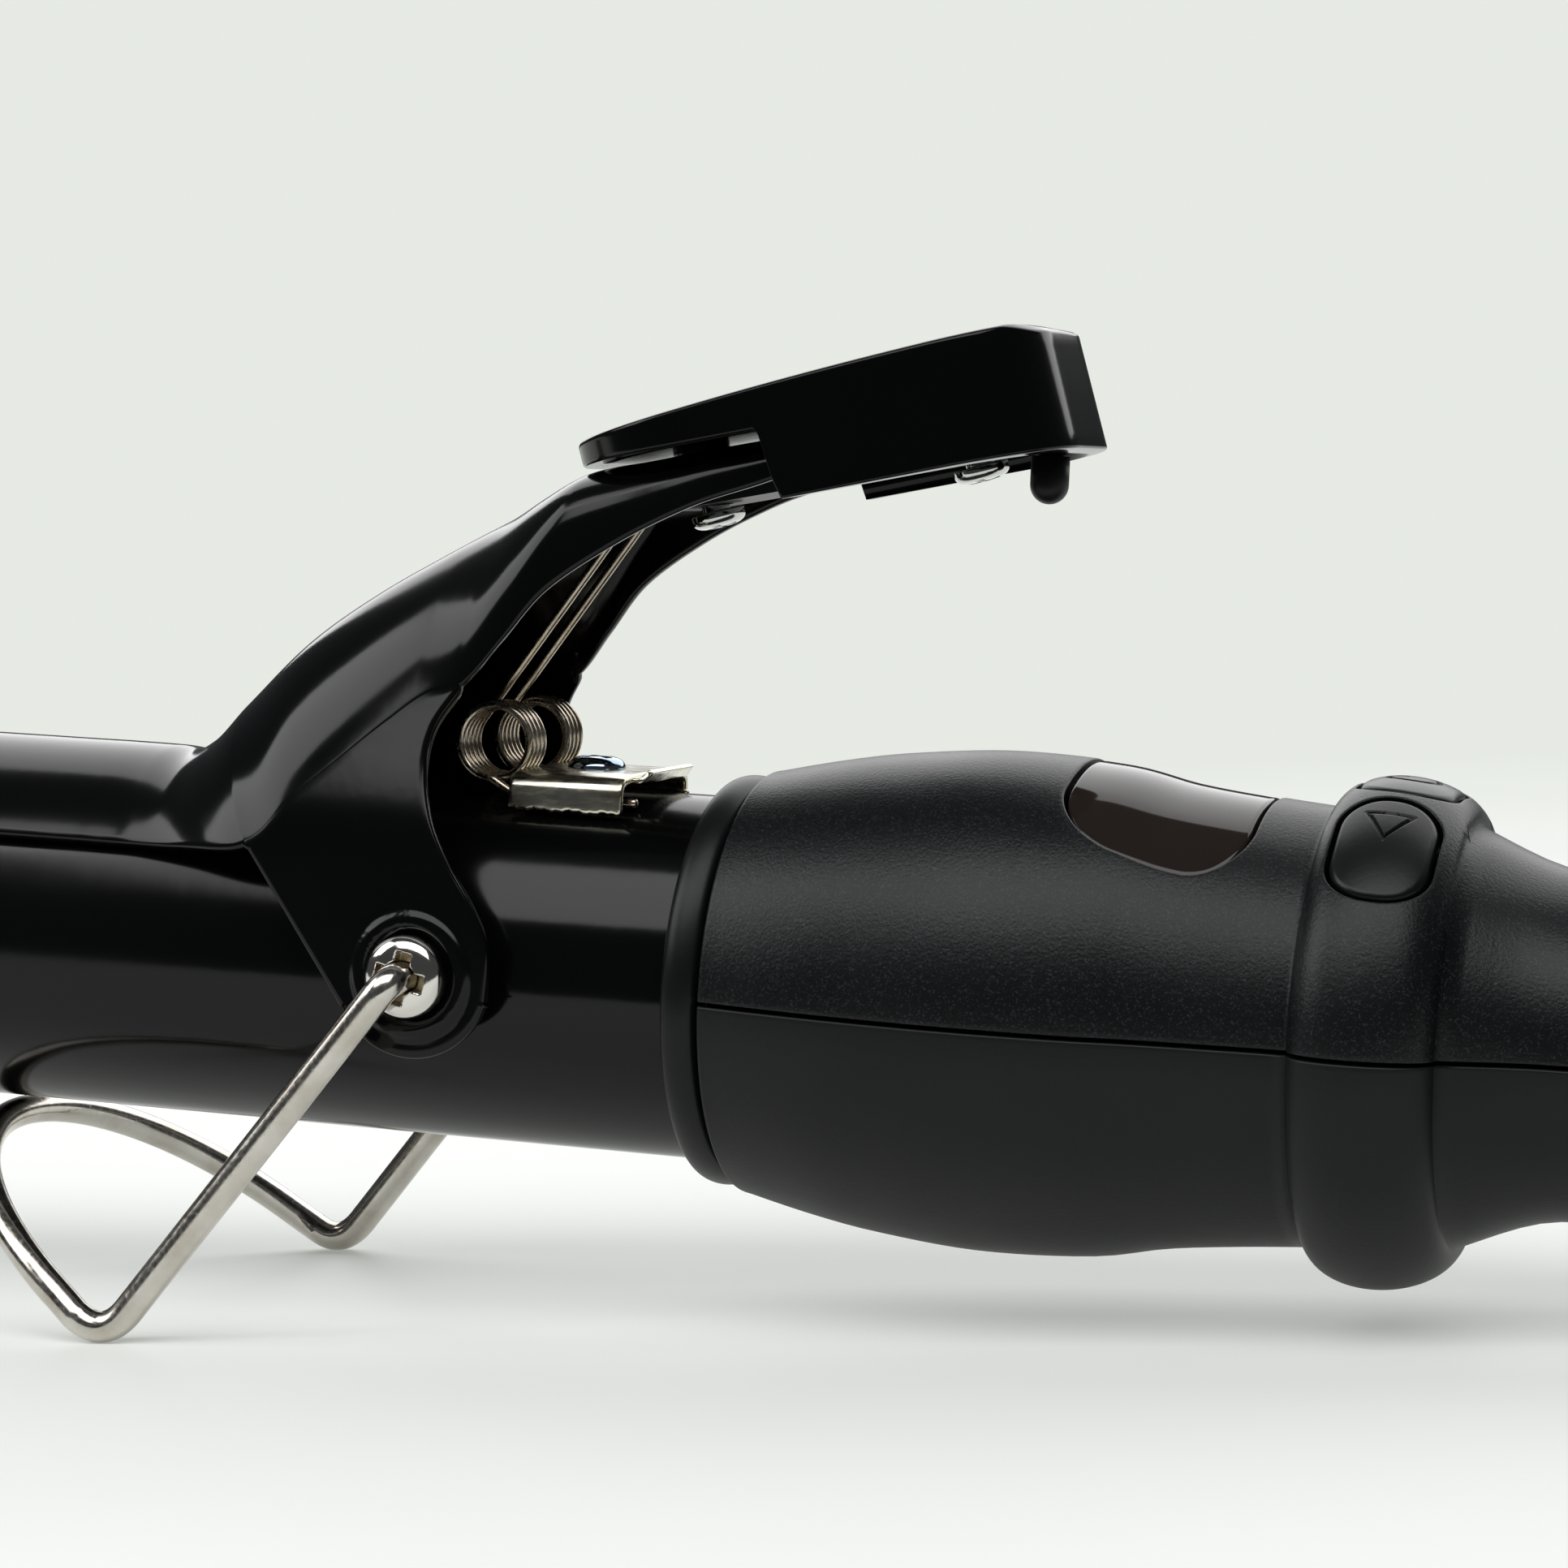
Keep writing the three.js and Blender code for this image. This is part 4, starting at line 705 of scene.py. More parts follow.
# ---------- thumb rest ----------
def pad_plan(inset, count):
    """The thumb rest's outline in plan, drawn in by inset: quarter turns of 9.5 in front and 8 behind."""
    front, rear = 9.5 - inset, 8 - inset
    half = PAD_HALF_WIDTH - inset
    quarter = np.linspace(0, math.pi / 2, 40)
    corners = [
        (PAD_LENGTH - inset - rear, half - rear, rear, 0),
        (inset + front - PAD_NOSE, half - front, front, math.pi / 2),
        (inset + front - PAD_NOSE, -half + front, front, math.pi),
        (PAD_LENGTH - inset - rear, -half + rear, rear, 1.5 * math.pi),
    ]
    arcs = [
        np.stack([u + r * np.cos(quarter + turn), v + r * np.sin(quarter + turn)], -1)
        for u, v, r, turn in corners
    ]
    line = np.vstack([*arcs, arcs[0][:1]])
    return resample(line, count + 1)[:-1]


def pad_top(u, v):
    """Height of the top: a parabola of 0.85 along it, raised at both ends, falling to each side and rounded
    down over the last 2.2."""
    t = np.clip(u / PAD_LENGTH, 0, 1)
    rise = 3.4 * t * (1 - t) - 0.1 * t + 0.95 * (1 - t) ** 2.2 + 0.4 * t**3
    return rise - 0.4 * (v / PAD_HALF_WIDTH) ** 2 - 0.75 * smooth(PAD_LENGTH - 2.2, PAD_LENGTH + 0.3, u)


def pad_surface(edge):
    """The thumb rest, as rings: out over its crowned top, over an eased edge, down its skirt, which is deep
    behind the notch and a lip before it, and back in underneath."""
    count = 420
    wall = 1.5
    outer, inner = pad_plan(0, count), pad_plan(wall, count)
    spine = np.stack([np.clip(outer[:, 0], 10, PAD_LENGTH - 9), 0 * outer[:, 1]], -1)
    deep = smooth(NOTCH_ALONG, NOTCH_ALONG + 0.5, outer[:, 0])
    skirt = -7.8 - 1.7 * (outer[:, 0] - NOTCH_ALONG) / (PAD_LENGTH - NOTCH_ALONG)
    low = -lip(outer[:, 0]) + deep * (skirt + lip(outer[:, 0]))
    ceiling = -lip(inner[:, 0])
    rings = []

    def ring(plan, height):
        """One ring of points at a height over the top line."""
        rings.append(in_pad(plan[:, 0], height, plan[:, 1]))

    eased = pad_plan(edge, count)
    for k in np.linspace(0, 1, 16):
        plan = spine + k * (eased - spine)
        ring(plan, pad_top(*plan.T))
    top = pad_top(*outer.T)
    for turn in np.radians((20, 40, 60, 75, 90)):
        plan = eased + math.sin(turn) * (outer - eased)
        ring(plan, top - edge * (1 - math.cos(turn)))
    for k in np.linspace(0, 1, 10)[1:]:
        ring(outer, (top - edge) * (1 - k) + (low + 0.2) * k)
    for turn in np.radians((30, 60, 90)):
        plan = outer + (0.2 * (1 - math.cos(turn)) / wall) * (inner - outer)
        ring(plan, low + 0.2 * (1 - math.sin(turn)))
    for k in (0.5, 0.9, 1):
        ring(outer + k * (inner - outer), low)
    for k in np.linspace(0, 1, 6)[1:]:
        ring(inner, low + k * (ceiling - low))
    for k in np.linspace(1, 0, 10)[1:]:
        plan = spine + k * (inner - spine)
        ring(plan, np.maximum(-lip(plan[:, 0]), -2.4))
    return grid(np.stack(rings), round_columns=True)


def boss_surface(u):
    """A screw boss under the thumb rest."""
    foot = PLATE_TOP - PLATE_SLOPE * (u - PLATE_START) + 1.7
    profile = rounded([(0, 1.4), (0, 2.2), (-foot - 1.2, 2.2), (-foot - 1.2, 1.4), (0, 1.4)], 0.15)
    return lathe(profile, in_pad(u, foot), in_pad(0, 1) - in_pad(0, 0), 40)


# ---------- screws ----------
def screw_head(centre, direction, radius, height, reach, blade, depth, turn=0.0, socket=0.0):
    """A domed head as a polar grid: height x (1 - (r/R)^4)^0.5, less the recess, which is a cross of a
    blade's width, deepest in its middle, and a round socket if there is one. Returns the cut's share too."""
    r = radius * np.r_[np.linspace(0, 0.96, 56), 0.975, 0.987, 0.995, 1, 1, 1, 0.9, 0][:, None]
    angle = np.linspace(0, 2 * math.pi, 128, endpoint=False)[None]
    a, b = r * np.cos(angle + turn), r * np.sin(angle + turn)
    dome = height * (0.35 + 0.65 * np.maximum(1 - (r / radius) ** 4, 0) ** 0.5)
    thin, long = np.minimum(np.abs(a), np.abs(b)), np.maximum(np.abs(a), np.abs(b))
    cross = (1 - smooth(blade - 0.07, blade + 0.07, thin)) * (1 - smooth(reach - 0.1, reach + 0.1, long))
    share = cross * (1 - 0.35 * long / reach)
    if socket:
        hole = 1 - smooth(socket - 0.1, socket + 0.12, r + 0 * angle)
        share = np.maximum(share, hole)
    to_rim = np.r_[np.ones(60), 0.35, 0, 0, 0][:, None]
    top = to_rim * (dome - depth * share)
    side, other = basis(direction)
    flat = r[..., None] * (np.cos(angle)[..., None] * side + np.sin(angle)[..., None] * other)
    points = np.asarray(centre, float) + flat + top[..., None] * unit(np.asarray(direction, float))
    return grid(points, round_columns=True), np.clip(share * 1.5, 0, 1)


def shank(centre, direction, radius, length):
    """The plain shank behind a head."""
    profile = rounded([(0, 0), (0, radius), (-length, radius), (-length, 0)], 0.15)
    return lathe(profile, centre, direction, 32)


def make_screw(name, material, body, node, head, stem):
    """A head with its shank as one piece that stands for its CAD node."""
    (surface, share), rod = head, shank(*stem)
    # the recess's share, carried to the material as the cut attribute, marks where shade is painted
    cut = np.r_[share.ravel(), np.zeros(len(rod[0]))]
    return new_piece(name, join(surface, rod), material, body, [node], {"cut": cut})


# ---------- lever spring ----------
SPRING_WIRE = 0.36
SPRING_RADIUS = 2.8
SPRING_TURNS = 4
SPRING_PITCH = 0.82
SPRING_X, SPRING_HEIGHT = 1.6, 3.5  # the coils' middle, its height over the barrel
SPRING_OUT = 5.7  # the feet's distance from the middle plane
SPRING_LEG = 20.2
SPRING_LEG_TURN = math.radians(125.4)  # the last part of a turn, after which the leg goes straight on


def spring_half(side):
    """From the foot under the bracket, round a helix about y, and straight up to the lever."""
    x, z = SPRING_X, BARREL_RADIUS + SPRING_HEIGHT
    out, pitch = SPRING_OUT, SPRING_PITCH
    leg_turn = SPRING_LEG_TURN
    foot_z = BARREL_RADIUS - 0.5
    foot = through([(13.4, side * out, foot_z), (8, side * out, foot_z), (4.6, side * out, foot_z)], 24)
    rise = through([foot[-1], (3.3, side * out, foot_z + 0.25), (x, side * out, z - SPRING_RADIUS)], 12)[1:-1]
    turn = np.linspace(0, 2 * math.pi * SPRING_TURNS + leg_turn, 44 * SPRING_TURNS)
    angle = -math.pi / 2 - turn
    y = side * (out - pitch * turn / (2 * math.pi))
    coil = np.stack([x + SPRING_RADIUS * np.cos(angle), y, z + SPRING_RADIUS * np.sin(angle)], -1)
    direction = np.array((-math.cos(leg_turn), 0, math.sin(leg_turn)))
    leg = coil[-1] + np.linspace(0, SPRING_LEG, 24)[1:, None] * direction
    return np.vstack([foot, rise, coil, leg]), direction


def spring_surface():
    """Both halves, joined across the lever by a rounded bight."""
    near, direction = spring_half(-1)
    far = spring_half(1)[0]
    beyond = 0.7 * direction
    bight = through([near[-1], near[-1] + beyond + (0, 0.6, 0), far[-1] + beyond - (0, 0.6, 0), far[-1]], 24)
    path = np.vstack([near, bight[1:-1], far[::-1]])
    square = np.array((-direction[2], 0, direction[0]))
    share = np.zeros(len(path))
    leg = 14
    share[len(near) - leg : len(near) + 22 + leg] = 1
    share[len(near) - leg : len(near)] = np.linspace(0, 1, leg)
    share[len(near) + 22 : len(near) + 22 + leg] = np.linspace(1, 0, leg)
    toward = (1 - share[:, None]) * np.array((0.0, 1.0, 0.0)) + share[:, None] * square
    return tube(path, SPRING_WIRE, toward, 12)


# ---------- bracket ----------
def bracket_surface():
    """The bent strip over the spring's feet: a flat top with two folded sides, its cut edges slightly ragged,
    and a narrower tongue that turns up at its rear end."""
    top = BARREL_RADIUS + GAP + 0.7
    out = 6.9
    flank = [(4.7, top), (out, top - 0.3), (out, top - 2.05)]
    section = resample(rounded([(-y, z) for y, z in flank[::-1]] + flank, 0.7), 90)
    x = np.linspace(4, 12.6, 60)[:, None]
    low = 1 - smooth(top - 2.05, top - 1.6, section[:, 1])[None]
    ragged = 0.06 * np.sin(2.3 * x) + 0.04 * np.sin(6.7 * x + 1) + 0.02 * np.sin(15.1 * x + 2)
    y, z = (np.broadcast_to(section[:, k], (60, 90)) for k in (0, 1))
    fold = np.stack([x + 0 * y, y, z + low * ragged], -1)
    run = resample(rounded([(12.2, top - 0.1), (13.6, top - 0.1), (14.2, top + 0.6)], 0.7), 30)
    width = np.linspace(-1, 1, 40)[None]
    half = 4.9 - 0.5 * smooth(0.6, 1, np.linspace(0, 1, 30))[:, None]
    tongue = np.stack([run[:, :1] + 0 * width, half * width, run[:, 1:] + 0 * width], -1)
    return join(plate(fold, 0.6, -1.0), plate(tongue, 0.45, -1.0))


# ---------- wire stand ----------
FOOT = (-22, 21.5, -28.6)  # the far foot's bend
CROWN_X = -41  # where the wire crosses under the barrel


def stand_half(side, wire):
    """From the screw's socket round a bend, down a leg, round the foot, and along a quarter of an ellipse to
    the crown."""
    out = EAR_OUTER + GAP + 3.8
    corner = np.array((0, side * out, PIVOT_HEIGHT))
    foot = np.array(FOOT) * (1, side, 1)
    down = unit(foot - corner)
    crown_z = -BARREL_RADIUS - GAP - wire
    rise = np.array((CROWN_X - FOOT[0], 0, crown_z - FOOT[2]))
    t = np.linspace(0, 1, 22)[:, None]

    def bend(start, control, end):
        """A quadratic curve."""
        return (1 - t) ** 2 * start + 2 * t * (1 - t) * control + t**2 * end

    socket = np.array((0, side * (EAR_OUTER + 1.3), PIVOT_HEIGHT))
    first = bend(corner - (0, side * 1.5, 0), corner, corner + 1.8 * down)
    second = bend(foot - 3.2 * down, foot, foot + 0.13 * rise)
    leg = first[-1] + np.linspace(0, 1, 40)[1:-1, None] * (second[0] - first[-1])
    angle = np.linspace(math.asin(0.13) * 1.6, math.pi / 2, 80)[:, None]
    bow = foot * (1, 0, 1) + np.sin(angle) * rise + np.cos(angle) * foot * (0, 1, 0)
    into = socket + np.linspace(0, 1, 8)[:-1, None] * (first[0] - socket)
    return np.vstack([into, first, leg, second, bow])


def stand_surface(wire):
    """One bent wire, the two halves meeting at the crown."""
    near, far = stand_half(-1, wire), stand_half(1, wire)
    path = np.vstack([near, far[::-1][1:]])
    return tube(path, wire, (-0.156, 0, 0.988), 24)


# ---------- handle ----------
BODY_SHAPE = (
    (0, 2.14), (0.125, 3.35), (0.25, 4.23), (0.43, 4.85),
    (0.625, 4.44), (0.75, 3.36), (0.875, 2.69), (1, 2.19),
)
GRIP_SHAPE = (
    (0, 1.33), (0.067, -1.06), (0.135, -1.48), (0.26, -1.7), (0.485, -1.1),
    (0.686, 0.1), (0.821, 0.6), (0.911, 0.2), (0.972, -1.3), (1, -2.9),
)
BODY_END, GRIP_START = BODY_SHAPE[-1][1], GRIP_SHAPE[0][1]
COLLAR_BULGE = 3.05


def handle_curve(shape, start, length):
    """A smooth line through (share of the length, radius over the barrel's) points."""
    return through([(start + length * share, BARREL_RADIUS + over) for share, over in shape], 400)


BODY_CURVE = handle_curve(BODY_SHAPE, HANDLE_FRONT, BODY_LENGTH)
GRIP_CURVE = handle_curve(GRIP_SHAPE, COLLAR_REAR, GRIP_LENGTH)


def handle_radius(x):
    """The handle's radius at x: its body's curve, a half ellipse over the collar, or its grip's curve."""
    along = (x - COLLAR_FRONT) / COLLAR_WIDTH
    bulge = COLLAR_BULGE * np.sqrt(np.maximum(1 - (2 * along - 1) ** 2, 0))
    collar = BARREL_RADIUS + BODY_END + along * (GRIP_START - BODY_END) + bulge
    body = np.interp(x, BODY_CURVE[:, 0], BODY_CURVE[:, 1])
    grip = np.interp(x, GRIP_CURVE[:, 0], GRIP_CURVE[:, 1])
    return np.where(x < COLLAR_FRONT, body, np.where(x > COLLAR_REAR, grip, collar))


def skin(x, y, turn, depth):
    """Points on the handle at x and y of a plan that is turned round the axis, at a depth under the skin."""
    radius = handle_radius(x) - depth
    z = np.sqrt(np.maximum(radius**2 - y**2, 0))
    return np.stack([x, y * math.cos(turn) + z * math.sin(turn), z * math.cos(turn) - y * math.sin(turn)], -1)


def band(profile, turns, limit, sign):
    """A patch swept round the handle: (x, radius) rows at each turn from the top, kept clear of the parting
    plane by limit."""
    x, radius = profile[:, :1], profile[:, 1:]
    most = np.arccos(np.clip(limit / radius, -1, 1))
    turn = np.clip(turns[None], -most, most)
    return grid(np.stack([x + 0 * turn, radius * np.sin(turn), sign * radius * np.cos(turn)], -1))


def opening(xs, turns, turn, centre, half, corner, edge, sign):
    """A patch with a rounded opening. Its points lie on lines from the patch's border in to the opening,
    whose edge is eased, then go down its wall and back out along the inside."""
    low, high = turns[0], turns[-1]
    border_x = np.r_[xs[:-1], np.full(len(turns) - 1, xs[-1]), xs[::-1][:-1], np.full(len(turns) - 1, xs[0])]
    border_turn = np.r_[np.full(len(xs) - 1, low), turns[:-1], np.full(len(xs) - 1, high), turns[::-1][:-1]]

    def border(depth):
        """The patch's border in the opening's plan."""
        return border_x - centre, (handle_radius(border_x) - depth) * np.sin(border_turn - turn)

    rings = []

    def ring(u, v, depth, sink=0.0):
        """One ring on the skin, or under it by sink along the opening's own direction."""
        points = skin(centre + u, v, turn, depth)
        points = points - sink * np.array((0, math.sin(turn), math.cos(turn)))
        rings.append(points * (1, 1, sign))

    u, v = border(0)
    share = reach_outline(u, v, (half[0] + edge, half[1] + edge), corner + edge)
    for k in np.linspace(0, 1, 9) ** 0.8:
        ring(u * (1 + k * (share - 1)), v * (1 + k * (share - 1)), 0)
    for angle in np.radians((22, 45, 68, 90)):
        grow = edge * (1 - math.sin(angle))
        share = reach_outline(u, v, (half[0] + grow, half[1] + grow), corner + grow)
        ring(u * share, v * share, 0, edge * (1 - math.cos(angle)))
    ring(u * share, v * share, HANDLE_WALL * 0.6, 0)
    inner_u, inner_v = border(HANDLE_WALL)
    ring(u * share, v * share, HANDLE_WALL, 0)
    for k in np.linspace(0, 1, 6)[1:]:
        ring(u * share + k * (inner_u - u * share), v * share + k * (inner_v - v * share), HANDLE_WALL)
    return grid(np.stack(rings), round_columns=True)


def rows_between(xs):
    """The skin's (x, radius) at some x, and the same on the inside of the wall."""
    return np.stack([xs, handle_radius(xs)], -1), np.stack([xs, handle_radius(xs) - HANDLE_WALL], -1)


def front_rows(end, edge):
    """From the bore round the front face's eased edge and along to x = end, outside and inside."""
    bore = BARREL_RADIUS + GAP
    xs = np.linspace(HANDLE_FRONT + 0.8, end, 30)
    outside = np.stack([xs, handle_radius(xs)], -1)
    face = rounded([(HANDLE_FRONT, bore), (HANDLE_FRONT, outside[0, 1] - 0.15), outside[0]], edge, 6)
    outer = np.vstack([face[8:-9], outside])
    step = (HANDLE_FRONT + 3.4, outside[4, 1] - HANDLE_WALL)
    inner = np.vstack([(HANDLE_FRONT, bore), (HANDLE_FRONT + 3, bore), step])
    rest = xs[xs > HANDLE_FRONT + 4]
    inner = np.vstack([inner, np.stack([rest, handle_radius(rest) - HANDLE_WALL], -1)])
    inner = resample(inner, len(outer))
    outer[0] = inner[0] = (HANDLE_FRONT, bore)
    return outer, inner


def rear_rows(start, edge):
    """Along to the grip's end, round its eased edge and down to the swivel's bore, outside and inside."""
    bore = BARREL_RADIUS - 5.7
    xs = np.linspace(start, HANDLE_REAR - 0.8, 60)
    outside = np.stack([xs, handle_radius(xs)], -1)
    face = rounded([outside[-1], (HANDLE_REAR, handle_radius(HANDLE_REAR)), (HANDLE_REAR, bore)], edge * 2, 6)
    outer = np.vstack([outside, face[9:-9], [(HANDLE_REAR, bore)]])
    flat = HANDLE_REAR - 6.3
    rest = xs[xs < flat - 1]
    inner = np.stack([rest, handle_radius(rest) - HANDLE_WALL], -1)
    inner = np.vstack([inner, (flat, inner[-1, 1] - 0.3), (flat, bore), (HANDLE_REAR, bore)])
    return outer, resample(inner, len(outer))


LENS_LOW, LENS_HIGH = span("display_lens")
LENS_CENTRE = float(LENS_LOW[0] + LENS_HIGH[0]) / 2
LENS_HALF = (float(LENS_HIGH[0] - LENS_LOW[0]) / 2 + GAP, float(LENS_HIGH[1]) + GAP)
LENS_CORNER = 4.8
BUTTON_HALF = (3.8, 5.5)
BUTTON_CORNER = 3.6
ARROW_MIDDLE = 2.2  # how far the arrow's middle is from the button's
ARROW_SIZE = 1.9


def shell_surface(sign, edge, parting):
    """Half of the handle: bands along x, each cut into patches round it, with the openings for the lens and
    the buttons in the upper half. The parting edges are rolled in at the middle plane."""
    limit = GAP / 2 + parting
    bound = [math.radians(a) for a in (-90, -55.5, -18.5, 18.5, 55.5, 90)]
    counts = (18, 24, 22, 24, 18)
    parts = [np.linspace(a, b, n + 1) for a, b, n in zip(bound, bound[1:], counts)]

    def merged(*indexes):
        """The turns of several neighbouring parts, each once."""
        return np.unique(np.concatenate([parts[i] for i in indexes]).round(12))

    whole = merged(0, 1, 2, 3, 4)
    collar = COLLAR_MIDDLE - COLLAR_WIDTH / 2 * np.cos(np.linspace(0, math.pi, 41))
    pieces, edges_out, edges_in = [], [], []

    def plain(outer, inner, turns=whole):
        """A band with no opening, outside and inside."""
        pieces.append(band(outer, turns, limit, sign))
        pieces.append(band(inner, turns, limit, sign))

    def add_band(outer, inner, groups):
        """One band along x: its patches, and its two ends at the parting plane."""
        for turns, hole in groups:
            if hole is None:
                plain(outer, inner, turns)
            else:
                pieces.append(opening(outer[:, 0], turns, *hole, edge * 0.6, sign))
        edges_out.append(outer)
        edges_in.append(inner)

    if sign > 0:
        lens_front, lens_rear = LENS_CENTRE - LENS_HALF[0] - 1.8, LENS_CENTRE + LENS_HALF[0] + 1.8
        add_band(*front_rows(lens_front, edge), [(whole, None)])
        lens_hole = (0.0, LENS_CENTRE, LENS_HALF, LENS_CORNER)
        groups = [(parts[0], None), (merged(1, 2, 3), lens_hole), (parts[4], None)]
        add_band(*rows_between(np.linspace(lens_front, lens_rear, 26)), groups)
        add_band(*rows_between(np.linspace(lens_rear, COLLAR_FRONT, 9)), [(whole, None)])
        buttons = [(parts[0], None), (parts[4], None)]
        for index, turn in ((1, -BUTTON_TURN), (2, 0.0), (3, BUTTON_TURN)):
            buttons.append((parts[index], (turn, COLLAR_MIDDLE, BUTTON_HALF, BUTTON_CORNER)))
        add_band(*rows_between(collar), buttons)
        add_band(*rear_rows(COLLAR_REAR, edge), [(whole, None)])
    else:
        add_band(*front_rows(COLLAR_FRONT, edge), [(whole, None)])
        add_band(*rows_between(collar), [(whole, None)])
        add_band(*rear_rows(COLLAR_REAR, edge), [(whole, None)])

    outer, inner = np.vstack(edges_out), np.vstack(edges_in)
    for side in (-1, 1):
        rows = []
        for angle in np.radians((0, 30, 60, 90)):
            radius = outer[:, 1] - parting * (1 - math.cos(angle))
            z = limit - parting * math.sin(angle)
            y = np.sqrt(np.maximum(radius**2 - z**2, 0))
            rows.append(np.stack([outer[:, 0], side * y, np.full(len(y), sign * z)], -1))
        y = np.sqrt(np.maximum(inner[:, 1] ** 2 - limit**2, 0))
        rows.append(np.stack([inner[:, 0], side * y, np.full(len(y), sign * limit)], -1))
        pieces.append(grid(np.stack(rows)))
    return join(*pieces)


def filled_patch(turn, centre, half, corner, depth, edge, thickness, relief=None):
    """A cap that follows the handle's skin inside a rounded outline: rings from its middle out, an eased edge
    and a wall, with relief(u, v) as extra depth."""
    angle = np.linspace(0, 2 * math.pi, 176, endpoint=False)
    u, v = half[0] * np.cos(angle), half[1] * np.sin(angle)
    rings = []

    def ring(share, sink):
        """One ring at a share of the way out."""
        x, y = share * u, share * v
        extra = relief(x, y) if relief is not None else 0 * x
        down = (sink + extra)[:, None] * np.array((0, math.sin(turn), math.cos(turn)))
        rings.append(skin(centre + x, y, turn, depth) - down)

    drawn = reach_outline(u, v, (half[0] - edge, half[1] - edge), max(corner - edge, 0.05))
    for k in np.linspace(0, 1, 56):
        ring(k * drawn, 0 * u)
    for bend in np.radians((22, 45, 68, 90)):
        less = edge * (1 - math.sin(bend))
        share = reach_outline(u, v, (half[0] - less, half[1] - less), max(corner - less, 0.05))
        ring(share, np.full_like(u, edge * (1 - math.cos(bend))))
    for k in (0.5, 1):
        ring(share, np.full_like(u, edge + k * thickness))
    ring(0 * share, np.full_like(u, edge + thickness))
    return grid(np.stack(rings), round_columns=True)


def triangle(u, v, size):
    """Distance outside an equilateral triangle that points along +v, less than 0 inside it."""
    right = (v * 0.5 + np.abs(u) * math.sqrt(3) / 2) - size / 2
    return np.maximum(right, -v - size / 2)


# ---------- swivel ----------
def swivel_surface():
    """The cord's swivel: a collar, a tapered nose with two grooves and the cord's bore."""
    collar = HANDLE_REAR + GAP
    bore = 3.6
    profile = rounded(
        [
            (HANDLE_REAR - 9, bore), (HANDLE_REAR - 9, 8), (collar, 8), (collar, 9.4), (collar + 2.6, 9.2),
            (collar + 3, 8.6), (collar + 3.6, 8.6), (collar + 4, 8.6), (collar + 5.6, 7.4), (collar + 8, 5.6),
            (collar + 8, bore), (HANDLE_REAR - 9, bore),
        ],
        0.3,
    )
    return lathe(profile, sides=120)


def upright(position, axes):
    """A matrix with its axes in columns and its origin at a position."""
    matrix = np.eye(4)
    matrix[:3, :3], matrix[:3, 3] = axes, position
    return Matrix(matrix.tolist())


# ---------- operators ----------
CAMERA_PLACE = (127.54, -312.06, 40.91)
MATERIALS = {}


def make_materials(colors):
    """Every finish of the iron, by name."""
    MATERIALS.update(
        enamel=enamel("black_enamel", colors.enamel),
        gloss=moulded("gloss_black_plastic", colors.gloss, 0.14, 700, 0.00001),
        # the upper shell's material has painted glints, pale specks in its base colour
        sparkle=moulded("black_plastic_with_painted_sparkle", colors.sparkle, 0.33, 4200, 0.00006, 0.16),
        matte=moulded("matte_black_plastic", colors.matte, 0.42, 2400, 0.00003),
        satin=moulded("satin_black_plastic", colors.satin, 0.3, 2200, 0.00002),
        ring=moulded("heat_proof_plastic", colors.satin, 0.34, 1500, 0.00002),
        lens=moulded("smoked_lens", colors.lens, 0.07, 300, 0.000004, specular=0.3),
        nickel=plated("nickel_wire", colors.nickel, (0.46, 0.42, 0.36), 0.17),
        bracket=plated("nickel_strip", (0.66, 0.64, 0.55), (0.45, 0.41, 0.30), 0.2, (0.2, 1, 1)),
        spring=plated("spring_wire", colors.spring, (0.30, 0.24, 0.17), 0.22),
        # each screw's second colour is painted shade in its recess
        head=metal_with_painted_recess_shade("pivot_screw_nickel", (0.68, 0.66, 0.62), colors.painted_recess_shade),
        zinc=metal_with_painted_recess_shade("blue_zinc", colors.zinc, (0.10, 0.13, 0.18)),
        steel=metal_with_painted_recess_shade("bright_zinc", (0.55, 0.56, 0.54), (0.20, 0.20, 0.19)),
        rubber=moulded("black_rubber", (0.006, 0.0062, 0.0066), 0.4, 1800, 0.00002),
        aluminium=plated("extruded_aluminium", (0.62, 0.63, 0.65), (0.5, 0.51, 0.53), 0.32, (0.1, 1, 1)),
        ceramic=moulded("white_ceramic", (0.72, 0.70, 0.64), 0.6, 900, 0.00003),
        board=moulded("green_board", (0.02, 0.10, 0.045), 0.35, 500, 0.00001),
        silicone=moulded("silicone_sleeve", (0.28, 0.05, 0.03), 0.5, 900, 0.00002),
    )


class IRON_OT_finishes(bpy.types.Operator):
    """Makes the finishes and gives them to the CAD pieces that stay visible or lie inside"""

    bl_idname = "iron.finishes"
    bl_label = "Finishes"

    def execute(self, context):
        make_materials(context.scene.iron_finishes)
        by_slot = {
            "nickel": "nickel", "zinc": "steel", "aluminium": "aluminium", "ceramic": "ceramic",
            "board": "board", "silicone": "silicone", "matte_plastic": "matte", "gloss_plastic": "gloss",
        }
        for row in frame["record"]["subparts"]:
            piece = frame["nodes"][row["node"]]
            chosen = MATERIALS[by_slot.get(row["material_slot"], "satin")]
            piece.data.materials.clear()
            piece.data.materials.append(chosen)
        return {"FINISHED"}


class IRON_OT_barrel(bpy.types.Operator):
    """Builds the barrel, its cool tip and the insulating ring"""

    bl_idname = "iron.barrel"
    bl_label = "Barrel"

    def execute(self, context):
        sides = context.scene.iron_shapes.sides
        pieces = (
            ("barrel", barrel_surface(sides), "enamel", "barrel_enamel", "barrel_tube"),
            ("cool_tip", tip_surface(sides), "ring", "ring_plastic", "tip_cap"),
            ("barrel_ring", ring_surface(sides), "ring", "ring_plastic", "insulating_ring"),
        )
        for name, surface, material, slot, node in pieces:
            new_piece(name, surface, material, "iron", [node])
        return {"FINISHED"}


